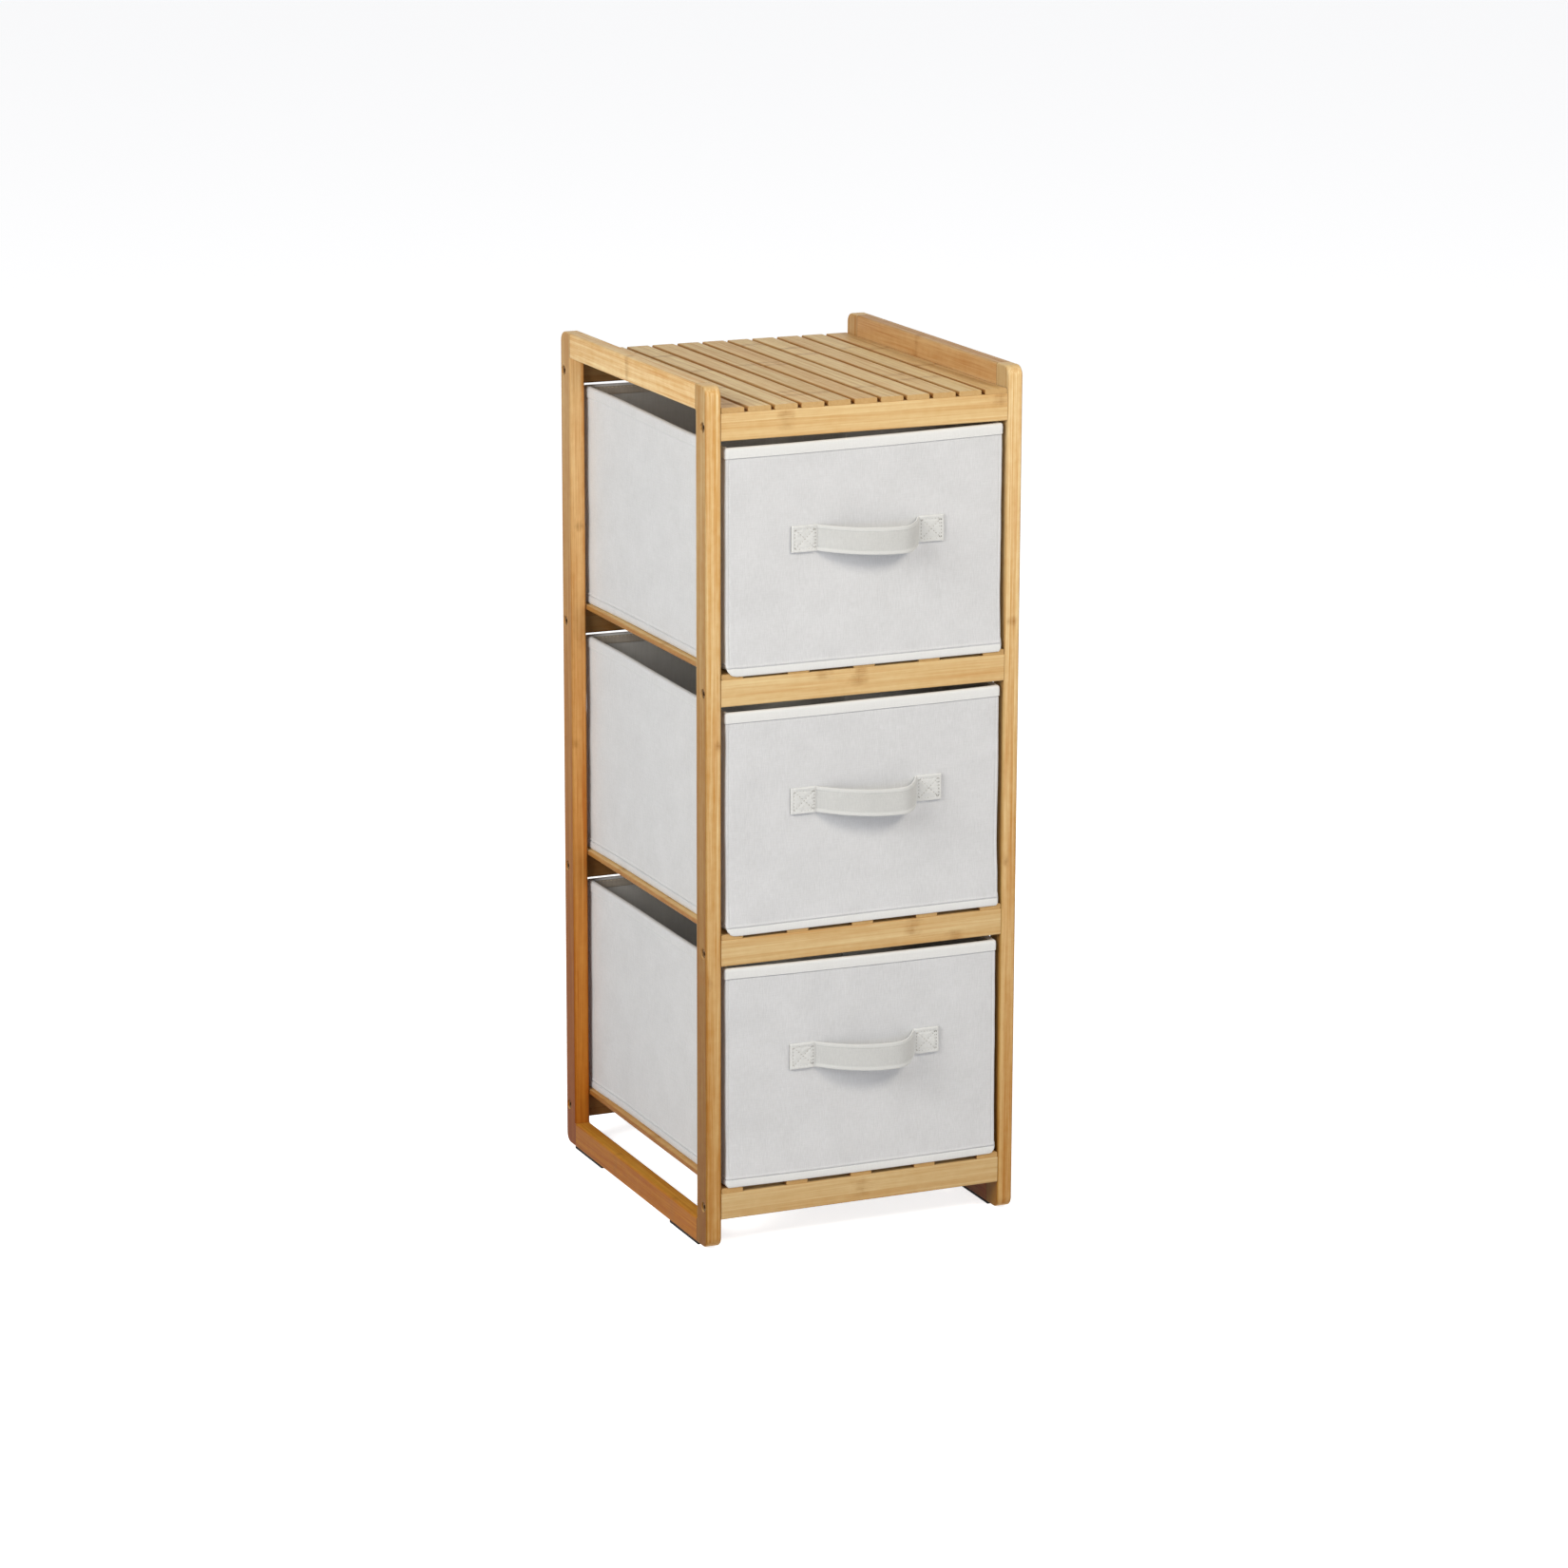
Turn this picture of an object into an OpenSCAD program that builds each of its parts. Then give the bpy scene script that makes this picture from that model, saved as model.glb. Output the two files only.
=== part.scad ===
// Bamboo shelf unit with a slatted top and three folded fabric storage boxes.
// Millimetres. +Z is up and the front faces -Y. The origin is on the floor, under the middle
// of the whole object with its handles.

/* [Shelf unit] */
// Height from the floor to the top of the side frames
unit_h = 850; // [760:1:1000]
// Width over the two side frames
unit_w = 330; // [290:1:400]
// Depth of a side frame, from the front face to the back face
unit_d = 375; // [300:1:430]

/* [Side frames] */
// Width of a post, as seen from the side
post_w = 25; // [22:0.5:32]
// Thickness of a side frame
frame_t = 16; // [15:0.5:20]
// Height of the rails at the top and bottom of a side frame
side_rail_h = 25; // [22:0.5:32]
// Radius of the rounded outer corners of a side frame
corner_r = 10; // [6:0.5:14]
// Radius of the softened long edges of posts and side rails
edge_r = 2; // [1:0.25:3]

/* [Cross rails] */
// Height of a cross rail
cross_rail_h = 26.5; // [25:0.5:34]
// Thickness of a cross rail
cross_rail_t = 15; // [14:0.5:18]
// Step from the face of a post back to the face of a cross rail
cross_rail_step = 0.5; // [0:0.1:2]
// Radius of the softened long edges of a cross rail
cross_edge_r = 1.5; // [0.5:0.25:3]
// Gap between the bottom side rails and the lowest cross rails
lowest_rail_gap = 3; // [1:0.5:20]
// Gap between the top side rails and the highest cross rails
highest_rail_gap = 1; // [0.5:0.5:10]

/* [Slats] */
// Thickness of a slat
slat_t = 5; // [4:0.25:8]
// Slats in the top
top_slats = 11; // [8:1:12]
// Gap between two slats of the top
top_slat_gap = 4; // [2:0.25:7]
// Slats in each shelf under a box
shelf_slats = 5; // [4:1:7]
// Width of a slat under a box
shelf_slat_w = 22.4; // [16:0.2:28]
// Radius of the softened long edges of a slat
slat_edge_r = 1.2; // [0.4:0.2:1.8]
// Step from the face of a cross rail back to the end of a slat
slat_end_step = 0.5; // [0:0.1:3]

/* [Fixings] */
// Diameter of a frame bolt
bolt_d = 6; // [5:0.5:7]
// Length of a frame bolt under its head
bolt_l = 30; // [26:1:40]
// Diameter of a bolt head
bolt_head_d = 9.6; // [9:0.1:10]
// Height of a bolt head
bolt_head_h = 3.5; // [3:0.1:4]
// Width across the flats of the hexagon socket in a bolt head
bolt_socket = 4; // [3:0.5:5]
// Depth of the counterbore that holds a bolt head
counterbore_depth = 5; // [4.5:0.1:5.5]
// Outer diameter of a threaded insert in the end of a cross rail
insert_d = 8; // [7.6:0.1:9]
// Length of a threaded insert
insert_l = 13; // [10:0.5:16]
// Diameter of a wooden dowel
dowel_d = 6; // [5:0.2:6.4]
// Length of a wooden dowel
dowel_l = 28; // [24:1:34]
// Depth of a cross rail dowel in its post
dowel_in_post = 8.5; // [6:0.1:9]
// Height of a cross rail dowel under the bolt of that rail
dowel_drop = 8; // [7.4:0.1:8.4]
// Distance between the two dowels in the end of a side rail
dowel_pitch = 12; // [10:0.5:13]

/* [Floor pads] */
// Length of a floor pad
pad_l = 73; // [30:1:110]
// Thickness of a floor pad
pad_t = 2; // [1:0.5:5]
// Distance from the end of a side frame to a floor pad
pad_end = 23; // [12:0.5:40]

/* [Fabric boxes] */
// Step from the face of the posts back to the front of a box
box_front_step = 1.5; // [0:0.5:10]
// Gap between a box and the side frame next to it
box_side_gap = 5; // [2:0.5:12]
// Gap between the top of a box and the cross rail above it
box_top_gap = 5.2; // [2:0.2:30]
// Distance from the back of a box to the back of the side frames
box_back_gap = 7.5; // [0:0.5:40]
// Radius of the upright edges of a box
box_corner_r = 5; // [3.5:0.5:12]
// Thickness of the outer cloth
cloth_t = 1; // [0.6:0.1:1.6]
// Thickness of a stiff board in a wall
board_t = 2.5; // [1.5:0.1:4]
// Thickness of the lining cloth
lining_t = 0.8; // [0.4:0.1:1.4]
// Thickness of the binding tape
binding_t = 0.6; // [0.4:0.1:1.2]
// Height of the binding on the rim
top_binding_h = 10.5; // [6:0.5:20]
// Height of the binding round the foot
foot_binding_h = 8; // [5:0.5:20]
// Thickness of the loose base board
base_board_t = 3; // [2:0.2:6]

/* [Box handles] */
// Width of the handle tape
tape_w = 26; // [18:0.5:40]
// Thickness of the handle tape
tape_t = 1.8; // [1.2:0.1:3]
// Length of a sewn handle end
tab_l = 27; // [18:0.5:34]
// Length of a handle over both sewn ends
handle_l = 160; // [130:1:190]
// Distance from the front cloth to the outer face of the handle
handle_bow = 20; // [12:0.5:26]
// Height of the middle of the tape above the foot of a box
handle_rise = 125; // [60:1:150]
// Distance of the handle to the right of the middle of the box
handle_shift = 3; // [-20:0.5:20]

/* [Hidden] */
$fn = 32;

// Running clearances
box_lift = 0.3;
slat_side_clear = 0.3;
bolt_clear = 0.4;
counterbore_clear = 0.9;
glue_clear = 0.1;
thread_clear = 0.1;
hole_end_clear = 0.5;
cloth_clear = 0.1;
base_lift = 0.3;
base_side_clear = 2;

// Side frames
inner_w = unit_w - 2 * frame_t;
frame_x = (unit_w - frame_t) / 2;
post_l = unit_h - pad_t;
side_rail_l = unit_d - 2 * post_w;
cloth_face_step = box_front_step + binding_t + cloth_clear;
handle_reach = handle_bow - cloth_face_step;
front_y = (handle_reach - unit_d) / 2;
back_y = front_y + unit_d;

// Heights of the upper faces of the cross rails, from the bottom up
levels = 4;
lowest_rail_top = pad_t + side_rail_h + lowest_rail_gap + cross_rail_h;
highest_rail_top = unit_h - side_rail_h - highest_rail_gap;
level_step = (highest_rail_top - lowest_rail_top) / (levels - 1);
function rail_top(level) = lowest_rail_top + level * level_step;
function bolt_z(level) = rail_top(level) - cross_rail_h / 2;
bolt_from_face = cross_rail_step + cross_rail_t / 2;

// Slats
slat_field_w = inner_w - 2 * slat_side_clear;
slat_start_y = front_y + cross_rail_step + slat_end_step;
slat_l = unit_d - 2 * (cross_rail_step + slat_end_step);
top_slat_w = (slat_field_w - (top_slats - 1) * top_slat_gap) / top_slats;
shelf_slat_pitch = (slat_field_w - shelf_slat_w) / (shelf_slats - 1);

// Fixings
grip = frame_t - counterbore_depth;
bolt_in_rail = bolt_l - grip;
dowel_chamfer = 0.8;
socket_depth = 2.4;

// Boxes
box_names = ["bottom_box", "middle_box", "top_box"];
box_w = inner_w - 2 * box_side_gap;
box_d = unit_d - box_front_step - box_back_gap;
box_h = level_step - cross_rail_h - slat_t - box_lift - box_top_gap;
box_y = front_y + box_front_step + box_d / 2;
function box_z(index) = rail_top(index) + slat_t + box_lift;
shell_inset = binding_t + cloth_clear;
board_inset = shell_inset + cloth_t + cloth_clear;
lining_inset = board_inset + board_t + cloth_clear;
inside_inset = lining_inset + lining_t;
wall_h = box_h - binding_t - cloth_clear;
board_foot = cloth_t + cloth_clear;
floor_top = board_foot + lining_t;
rim_inset = inside_inset + cloth_clear + binding_t;

// Handles: the free stretch of the tape bows out as a raised cosine between the sewn ends
free_half = handle_l / 2 - tab_l;
bow_rise = handle_bow - tape_t;
bow_steps = 40;
function bow_y(x) = -tape_t / 2 - bow_rise * (1 + cos(180 * x / free_half)) / 2;
function bow_slope(x) = bow_rise * sin(180 * x / free_half) * PI / 2 / free_half;
function tape_edge(x, side) =
    [x, bow_y(x)] + side * tape_t / 2 * [-bow_slope(x), 1] / norm([1, bow_slope(x)]);

// Colours
bamboo = "#c9934f";
bamboo_dark = "#a9713a";
cloth = "#dcdad4";
lining_grey = "#8d8b88";
tape_white = "#f2f1ed";
board_brown = "#b3925f";
steel = "#8f9194";
brass_yellow = "#b08d4a";
rubber_black = "#1d1d1f";

// Flat outlines

// A rectangle round the origin with all four corners rounded
module soft_rectangle(width, height, radius) {
    square([width - 2 * radius, height], center = true);
    square([width, height - 2 * radius], center = true);
    for (x = [-1, 1], y = [-1, 1])
        translate([x * (width / 2 - radius), y * (height / 2 - radius)])
            circle(radius);
}

// The same, standing on the X axis, with only its two lower corners rounded
module half_soft_rectangle(width, height, radius) {
    translate([0, height / 2])
        soft_rectangle(width, height, radius);
    translate([-width / 2, height / 2])
        square([width, height / 2]);
}

// Side frames

// One end of a post, from its floor end up to the height of the side rail.
// The outer face is at y = 0, the face against the side rail at y = post_w.
module post_end() {
    translate([0, 0, corner_r])
        linear_extrude(side_rail_h - corner_r)
            half_soft_rectangle(frame_t, post_w, edge_r);
    translate([0, post_w, 0])
        rotate([90, 0, 0])
            linear_extrude(post_w - corner_r)
                half_soft_rectangle(frame_t, side_rail_h, edge_r);
    translate([0, corner_r, corner_r])
        rotate([0, 90, 0])
            rotate_extrude($fn = 64)
                intersection() {
                    soft_rectangle(2 * corner_r, frame_t, edge_r);
                    translate([0, -frame_t / 2])
                        square([corner_r, frame_t]);
                }
}

// A bare post that stands on z = 0
module post_blank() {
    translate([0, post_w / 2, side_rail_h])
        linear_extrude(post_l - 2 * side_rail_h)
            soft_rectangle(frame_t, post_w, edge_r);
    post_end();
    translate([0, 0, post_l])
        mirror([0, 0, 1])
            post_end();
}

// Hole through a post for one bolt, drilled from the outer face at x = -frame_t / 2
module bolt_passage() {
    rotate([0, 90, 0])
        translate([0, 0, -frame_t / 2 - 1]) {
            cylinder(d = bolt_d + bolt_clear, h = frame_t + 2);
            cylinder(d = bolt_head_d + counterbore_clear, h = counterbore_depth + 1);
        }
}

// Blind hole for a dowel, from z = 0 down
module dowel_hole(depth) {
    translate([0, 0, -depth - hole_end_clear])
        cylinder(d = dowel_d + glue_clear, h = depth + hole_end_clear + 1);
}

// A post of the left frame, at the front, with its outer corner at y = 0
module left_post_shape() {
    difference() {
        post_blank();
        for (level = [0:levels - 1])
            translate([0, bolt_from_face, bolt_z(level) - pad_t]) {
                bolt_passage();
                translate([frame_t / 2, 0, -dowel_drop])
                    rotate([0, 90, 0])
                        dowel_hole(dowel_in_post);
            }
        for (rail_z = [side_rail_h / 2, post_l - side_rail_h / 2], side = [-1, 1])
            translate([0, post_w, rail_z + side * dowel_pitch / 2])
                rotate([-90, 0, 0])
                    dowel_hole(dowel_l / 2);
    }
}

// side: -1 left, 1 right. place: -1 front, 1 back.
module post(side, place) {
    color(bamboo)
        translate([side * frame_x, place < 0 ? front_y : back_y, pad_t])
            mirror([side > 0 ? 1 : 0, 0, 0])
                mirror([0, place > 0 ? 1 : 0, 0])
                    left_post_shape();
}

// A rail between the two posts of a side frame
module side_rail(side, bottom_z) {
    color(bamboo)
        translate([side * frame_x, front_y + post_w, bottom_z])
            difference() {
                translate([0, side_rail_l, side_rail_h / 2])
                    rotate([90, 0, 0])
                        linear_extrude(side_rail_l)
                            soft_rectangle(frame_t, side_rail_h, edge_r);
                for (up = [-1, 1])
                    translate([0, 0, side_rail_h / 2 + up * dowel_pitch / 2]) {
                        rotate([90, 0, 0])
                            dowel_hole(dowel_l / 2);
                        translate([0, side_rail_l, 0])
                            rotate([-90, 0, 0])
                                dowel_hole(dowel_l / 2);
                    }
            }
}

// Cross rails

// Y of the middle of the cross rails. place: -1 front, 1 back.
function cross_y(place) = place < 0 ? front_y + bolt_from_face : back_y - bolt_from_face;

// Holes in the end of a cross rail, drilled towards -X from x = 0
module rail_end_holes() {
    rotate([0, 90, 0]) {
        translate([0, 0, -insert_l])
            cylinder(d = insert_d + glue_clear, h = insert_l + 1);
        translate([0, 0, -bolt_in_rail - 2])
            cylinder(d = bolt_d + bolt_clear, h = bolt_in_rail + 3);
    }
    translate([0, 0, -dowel_drop])
        rotate([0, 90, 0])
            dowel_hole(dowel_l - dowel_in_post);
}

module cross_rail(level, place) {
    color(bamboo)
        translate([0, cross_y(place), bolt_z(level)])
            difference() {
                translate([-inner_w / 2, 0, 0])
                    rotate([90, 0, 90])
                        linear_extrude(inner_w)
                            soft_rectangle(cross_rail_t, cross_rail_h, cross_edge_r);
                for (side = [0, 1])
                    mirror([side, 0, 0])
                        translate([inner_w / 2, 0, 0])
                            rail_end_holes();
            }
}

// Slats

// One slat along the depth of the unit, with the middle of its underside at x, z
module slat(x, z, width) {
    color(bamboo)
        translate([x, slat_start_y + slat_l, z + slat_t / 2])
            rotate([90, 0, 0])
                linear_extrude(slat_l)
                    soft_rectangle(width, slat_t, slat_edge_r);
}

module top_slat(number) {
    slat(-slat_field_w / 2 + top_slat_w / 2 + (number - 1) * (top_slat_w + top_slat_gap),
        rail_top(levels - 1), top_slat_w);
}

module slats_of_shelf(level) {
    for (index = [0:shelf_slats - 1])
        slat((index - (shelf_slats - 1) / 2) * shelf_slat_pitch, rail_top(level), shelf_slat_w);
}

// Fixings

// Puts its children at each end of each cross rail, with +X pointing out of the unit
module at_rail_ends() {
    for (level = [0:levels - 1], place = [-1, 1], side = [0, 1])
        mirror([side, 0, 0])
            translate([inner_w / 2, cross_y(place), bolt_z(level)])
                children();
}

module frame_bolts() {
    color(steel)
        at_rail_ends()
            rotate([0, 90, 0])
                difference() {
                    union() {
                        translate([0, 0, grip - bolt_l])
                            cylinder(d = bolt_d, h = bolt_l);
                        translate([0, 0, grip])
                            cylinder(d = bolt_head_d, h = bolt_head_h);
                    }
                    translate([0, 0, grip + bolt_head_h - socket_depth])
                        cylinder(d = bolt_socket / cos(30), h = socket_depth + 1, $fn = 6);
                }
}

module threaded_inserts() {
    color(brass_yellow)
        at_rail_ends()
            rotate([0, 90, 0])
                translate([0, 0, -insert_l])
                    difference() {
                        cylinder(d = insert_d, h = insert_l);
                        translate([0, 0, -1])
                            cylinder(d = bolt_d + thread_clear, h = insert_l + 2);
                    }
}

// A dowel along Z from z = 0 up, with chamfered ends
module dowel() {
    rotate_extrude()
        polygon([
            [0, 0],
            [dowel_d / 2 - dowel_chamfer, 0],
            [dowel_d / 2, dowel_chamfer],
            [dowel_d / 2, dowel_l - dowel_chamfer],
            [dowel_d / 2 - dowel_chamfer, dowel_l],
            [0, dowel_l],
        ]);
}

module wooden_dowels() {
    color(bamboo_dark) {
        at_rail_ends()
            translate([dowel_in_post - dowel_l, 0, -dowel_drop])
                rotate([0, 90, 0])
                    dowel();
        for (side = [-1, 1], joint_y = [front_y + post_w, back_y - post_w])
            for (rail_z = [pad_t + side_rail_h / 2, unit_h - side_rail_h / 2], up = [-1, 1])
                translate([side * frame_x, joint_y + dowel_l / 2, rail_z + up * dowel_pitch / 2])
                    rotate([90, 0, 0])
                        dowel();
    }
}

// A pad under a bottom side rail. side: -1 left, 1 right. place: -1 front, 1 back.
module floor_pad(side, place) {
    pad_w = frame_t - edge_r / 2;
    color(rubber_black)
        translate([side * frame_x - pad_w / 2,
            place < 0 ? front_y + pad_end : back_y - pad_end - pad_l, 0])
            cube([pad_w, pad_l, pad_t]);
}

// Boxes

// Flat outline of a box, drawn in by inset on every side
module box_outline(inset) {
    soft_rectangle(box_w - 2 * inset, box_d - 2 * inset, max(box_corner_r - inset, 0.4));
}

// Wall that follows the box outline, between two insets
module box_wall(outer_inset, inner_inset, height) {
    linear_extrude(height)
        difference() {
            box_outline(outer_inset);
            box_outline(inner_inset);
        }
}

// Puts its children with their origin at the middle of the foot of a box
module at_box(index) {
    translate([0, box_y, box_z(index)])
        children();
}

module box_shell(index) {
    color(cloth)
        at_box(index) {
            box_wall(shell_inset, shell_inset + cloth_t, wall_h);
            linear_extrude(cloth_t)
                box_outline(shell_inset);
        }
}

module box_lining(index) {
    color(lining_grey)
        at_box(index)
            translate([0, 0, board_foot]) {
                box_wall(lining_inset, inside_inset, wall_h - board_foot);
                linear_extrude(lining_t)
                    box_outline(lining_inset);
            }
}

// Four boards that stand between the cloth and the lining, one in each wall
module box_wall_boards(index) {
    board_h = wall_h - board_foot;
    corner_free = box_corner_r - board_inset + cloth_clear;
    front_l = box_w - 2 * board_inset - 2 * corner_free;
    side_l = box_d - 2 * board_inset - 2 * (board_t + corner_free);
    color(board_brown)
        at_box(index)
            for (turn = [0, 1]) {
                mirror([0, turn, 0])
                    translate([-front_l / 2, -box_d / 2 + board_inset, board_foot])
                        cube([front_l, board_t, board_h]);
                mirror([turn, 0, 0])
                    translate([-box_w / 2 + board_inset, -side_l / 2, board_foot])
                        cube([board_t, side_l, board_h]);
            }
}

// Loose stiff board that lies on the floor of a box
module box_base_board(index) {
    color(lining_grey)
        at_box(index)
            translate([0, 0, floor_top + base_lift])
                linear_extrude(base_board_t)
                    box_outline(inside_inset + base_side_clear);
}

// Tape folded over the rim of a box
module box_top_binding(index) {
    color(tape_white)
        at_box(index)
            translate([0, 0, box_h - top_binding_h]) {
                box_wall(0, binding_t, top_binding_h);
                box_wall(rim_inset - binding_t, rim_inset, top_binding_h);
                translate([0, 0, top_binding_h - binding_t])
                    box_wall(0, rim_inset, binding_t);
            }
}

// Tape round the foot of a box
module box_foot_binding(index) {
    color(tape_white)
        at_box(index)
            box_wall(0, binding_t, foot_binding_h);
}

// Plan of the tape in front of the cloth, which lies on y = 0, with the bow towards -Y
module handle_plan() {
    stations = [for (step = [0:bow_steps]) free_half * (2 * step / bow_steps - 1)];
    polygon(concat(
        [[-handle_l / 2, 0]],
        [for (x = stations) tape_edge(x, 1)],
        [[handle_l / 2, 0], [handle_l / 2, -tape_t]],
        [for (x = stations) tape_edge(-x, -1)],
        [[-handle_l / 2, -tape_t]]
    ));
}

module box_handle(index) {
    color(tape_white)
        translate([handle_shift, front_y + cloth_face_step, box_z(index) + handle_rise - tape_w / 2])
            linear_extrude(tape_w)
                handle_plan();
}

// Side frames
post(-1, -1);  // left_front_post
post(-1, 1);  // left_back_post
post(1, -1);  // right_front_post
post(1, 1);  // right_back_post
side_rail(-1, unit_h - side_rail_h);  // left_top_rail
side_rail(-1, pad_t);  // left_bottom_rail
side_rail(1, unit_h - side_rail_h);  // right_top_rail
side_rail(1, pad_t);  // right_bottom_rail

// Cross rails
cross_rail(0, -1);  // bottom_front_cross_rail
cross_rail(0, 1);  // bottom_back_cross_rail
cross_rail(1, -1);  // lower_front_cross_rail
cross_rail(1, 1);  // lower_back_cross_rail
cross_rail(2, -1);  // upper_front_cross_rail
cross_rail(2, 1);  // upper_back_cross_rail
cross_rail(3, -1);  // top_front_cross_rail
cross_rail(3, 1);  // top_back_cross_rail

// Slats
for (number = [1:top_slats])
    top_slat(number);
slats_of_shelf(0);  // bottom_shelf_slats
slats_of_shelf(1);  // lower_shelf_slats
slats_of_shelf(2);  // upper_shelf_slats

// Fixings and pads
frame_bolts();
threaded_inserts();
wooden_dowels();
floor_pad(-1, -1);  // left_front_pad
floor_pad(-1, 1);  // left_back_pad
floor_pad(1, -1);  // right_front_pad
floor_pad(1, 1);  // right_back_pad

// Boxes, from the bottom up
for (index = [0:len(box_names) - 1]) {
    name = box_names[index];
    box_shell(index);
    box_lining(index);
    box_wall_boards(index);
    box_base_board(index);
    box_top_binding(index);
    box_foot_binding(index);
    box_handle(index);
}
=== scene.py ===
"""Bamboo shelf unit with three fabric boxes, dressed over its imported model.

Metres. +Z is up and the front faces -Y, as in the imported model.
"""

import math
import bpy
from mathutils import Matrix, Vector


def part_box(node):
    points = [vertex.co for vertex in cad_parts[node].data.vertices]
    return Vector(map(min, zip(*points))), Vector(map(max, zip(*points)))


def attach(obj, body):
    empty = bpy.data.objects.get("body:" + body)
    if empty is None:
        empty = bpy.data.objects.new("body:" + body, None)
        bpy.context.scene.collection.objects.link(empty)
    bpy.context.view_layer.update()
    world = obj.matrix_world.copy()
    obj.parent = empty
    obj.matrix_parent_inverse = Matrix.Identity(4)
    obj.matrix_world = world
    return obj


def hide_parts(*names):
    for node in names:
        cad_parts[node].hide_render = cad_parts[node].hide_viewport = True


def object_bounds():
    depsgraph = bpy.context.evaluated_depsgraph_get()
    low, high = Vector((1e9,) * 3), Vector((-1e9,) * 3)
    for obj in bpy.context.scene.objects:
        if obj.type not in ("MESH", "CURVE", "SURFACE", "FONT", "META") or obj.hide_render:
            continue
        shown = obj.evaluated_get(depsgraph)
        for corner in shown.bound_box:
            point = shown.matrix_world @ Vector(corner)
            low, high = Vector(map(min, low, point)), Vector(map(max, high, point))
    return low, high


bl_info = {
    "name": "Bamboo Shelf Unit",
    "version": (1, 0, 0),
    "blender": (4, 5, 0),
    "location": "View3D > Sidebar > Shelf Unit",
    "description": "Finishes a bamboo shelf unit and makes its fabric boxes",
    "category": "Object",
}

import bmesh
import bpy
from bpy.props import FloatProperty, FloatVectorProperty, PointerProperty
from mathutils import Matrix, Vector, noise

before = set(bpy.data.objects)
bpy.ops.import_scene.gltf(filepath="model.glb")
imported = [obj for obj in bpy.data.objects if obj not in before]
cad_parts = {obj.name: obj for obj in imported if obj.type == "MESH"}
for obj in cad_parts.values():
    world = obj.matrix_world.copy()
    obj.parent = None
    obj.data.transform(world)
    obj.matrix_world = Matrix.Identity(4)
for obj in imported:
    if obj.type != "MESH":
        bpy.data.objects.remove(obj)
CAD_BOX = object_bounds()

MM = 0.001
BOX_NAMES = ("bottom_box", "middle_box", "top_box")


def linear(hex_colour):
    """The linear red, green, blue and alpha of an sRGB hex colour."""
    channels = [int(hex_colour[at : at + 2], 16) / 255 for at in (1, 3, 5)]
    return [c / 12.92 if c <= 0.04045 else ((c + 0.055) / 1.055) ** 2.4 for c in channels] + [1.0]


def smooth(low, high, value):
    """0 below low, 1 above high, and an even curve between them."""
    share = min(max((value - low) / (high - low), 0), 1)
    return share * share * (3 - 2 * share)


# Settings


def number(name, description, default, **more):
    """A number in the sidebar."""
    return FloatProperty(name=name, description=description, default=default, **more)


def length(name, description, default, **more):
    """A length that the sidebar shows in the scene's unit."""
    return number(name, description, default, unit="LENGTH", precision=5, **more)


def angle(name, description, degrees):
    """An angle, given in degrees."""
    return number(name, description, math.radians(degrees), unit="ROTATION")


def colour(name, description, default):
    """A colour, given as sRGB hex."""
    return FloatVectorProperty(
        name=name, description=description, default=linear(default), subtype="COLOR", size=4
    )


class StudioSettings(bpy.types.PropertyGroup):
    camera_place: FloatVectorProperty(
        name="Camera place",
        description="Where the camera stands",
        default=(-1.9678, -4.4821, 1.6306),
        subtype="TRANSLATION",
    )
    camera_yaw: angle("Camera yaw", "How far it looks to the right of straight ahead", 23.64)
    camera_pitch: angle("Camera pitch", "How far the camera looks down", 13.98)
    camera_roll: angle("Camera roll", "How far the camera leans", 0.15)
    camera_lens: number("Camera lens", "Focal length for a sensor 36 mm wide", 116.12, unit="CAMERA")
    key_power: number("Key light", "Power of the large lamp in front", 27, unit="POWER")
    fill_power: number("Fill light", "Power of the lamp on the left", 57.5, unit="POWER")
    bounce_power: number("Bounce light", "Power of the low card in front", 10, unit="POWER")
    room_light: number("Room light", "Even light from all round", 0.21, min=0)
    floor_colour: colour("Floor", "Colour of the painted studio floor", "#f4f4f4")


class BambooSettings(bpy.types.PropertyGroup):
    frame_light: colour("Frame, light fibres", "Lightest tone of posts and side rails", "#ffe8b4")
    frame_dark: colour("Frame, dark fibres", "Darkest tone of posts and side rails", "#dba963")
    amber: colour("Amber", "What the more orange pieces are multiplied by", "#fbbf68")
    # Painted shade: darkens the pieces that stand in shadow, such as the back cross rails
    shade: colour("Shade", "What the darker pieces are multiplied by", "#7d6a58")
    rail_light: colour("Rails, light fibres", "Lightest tone of the cross rails", "#f4daa4")
    rail_dark: colour("Rails, dark fibres", "Darkest tone of the cross rails", "#d7a96a")
    slat_light: colour("Slats, light fibres", "Lightest tone of the slats", "#ffe7af")
    slat_dark: colour("Slats, dark fibres", "Darkest tone of the slats", "#cda465")
    knuckle: colour("Knuckles", "Tone of the bands where the cane had its joints", "#9a6226")
    knuckle_width: length("Knuckle width", "Width of a knuckle along the grain", 0.014, min=0.002)
    roughness: number("Lacquer roughness", "Roughness of the satin lacquer", 0.42, min=0, max=1)


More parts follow.
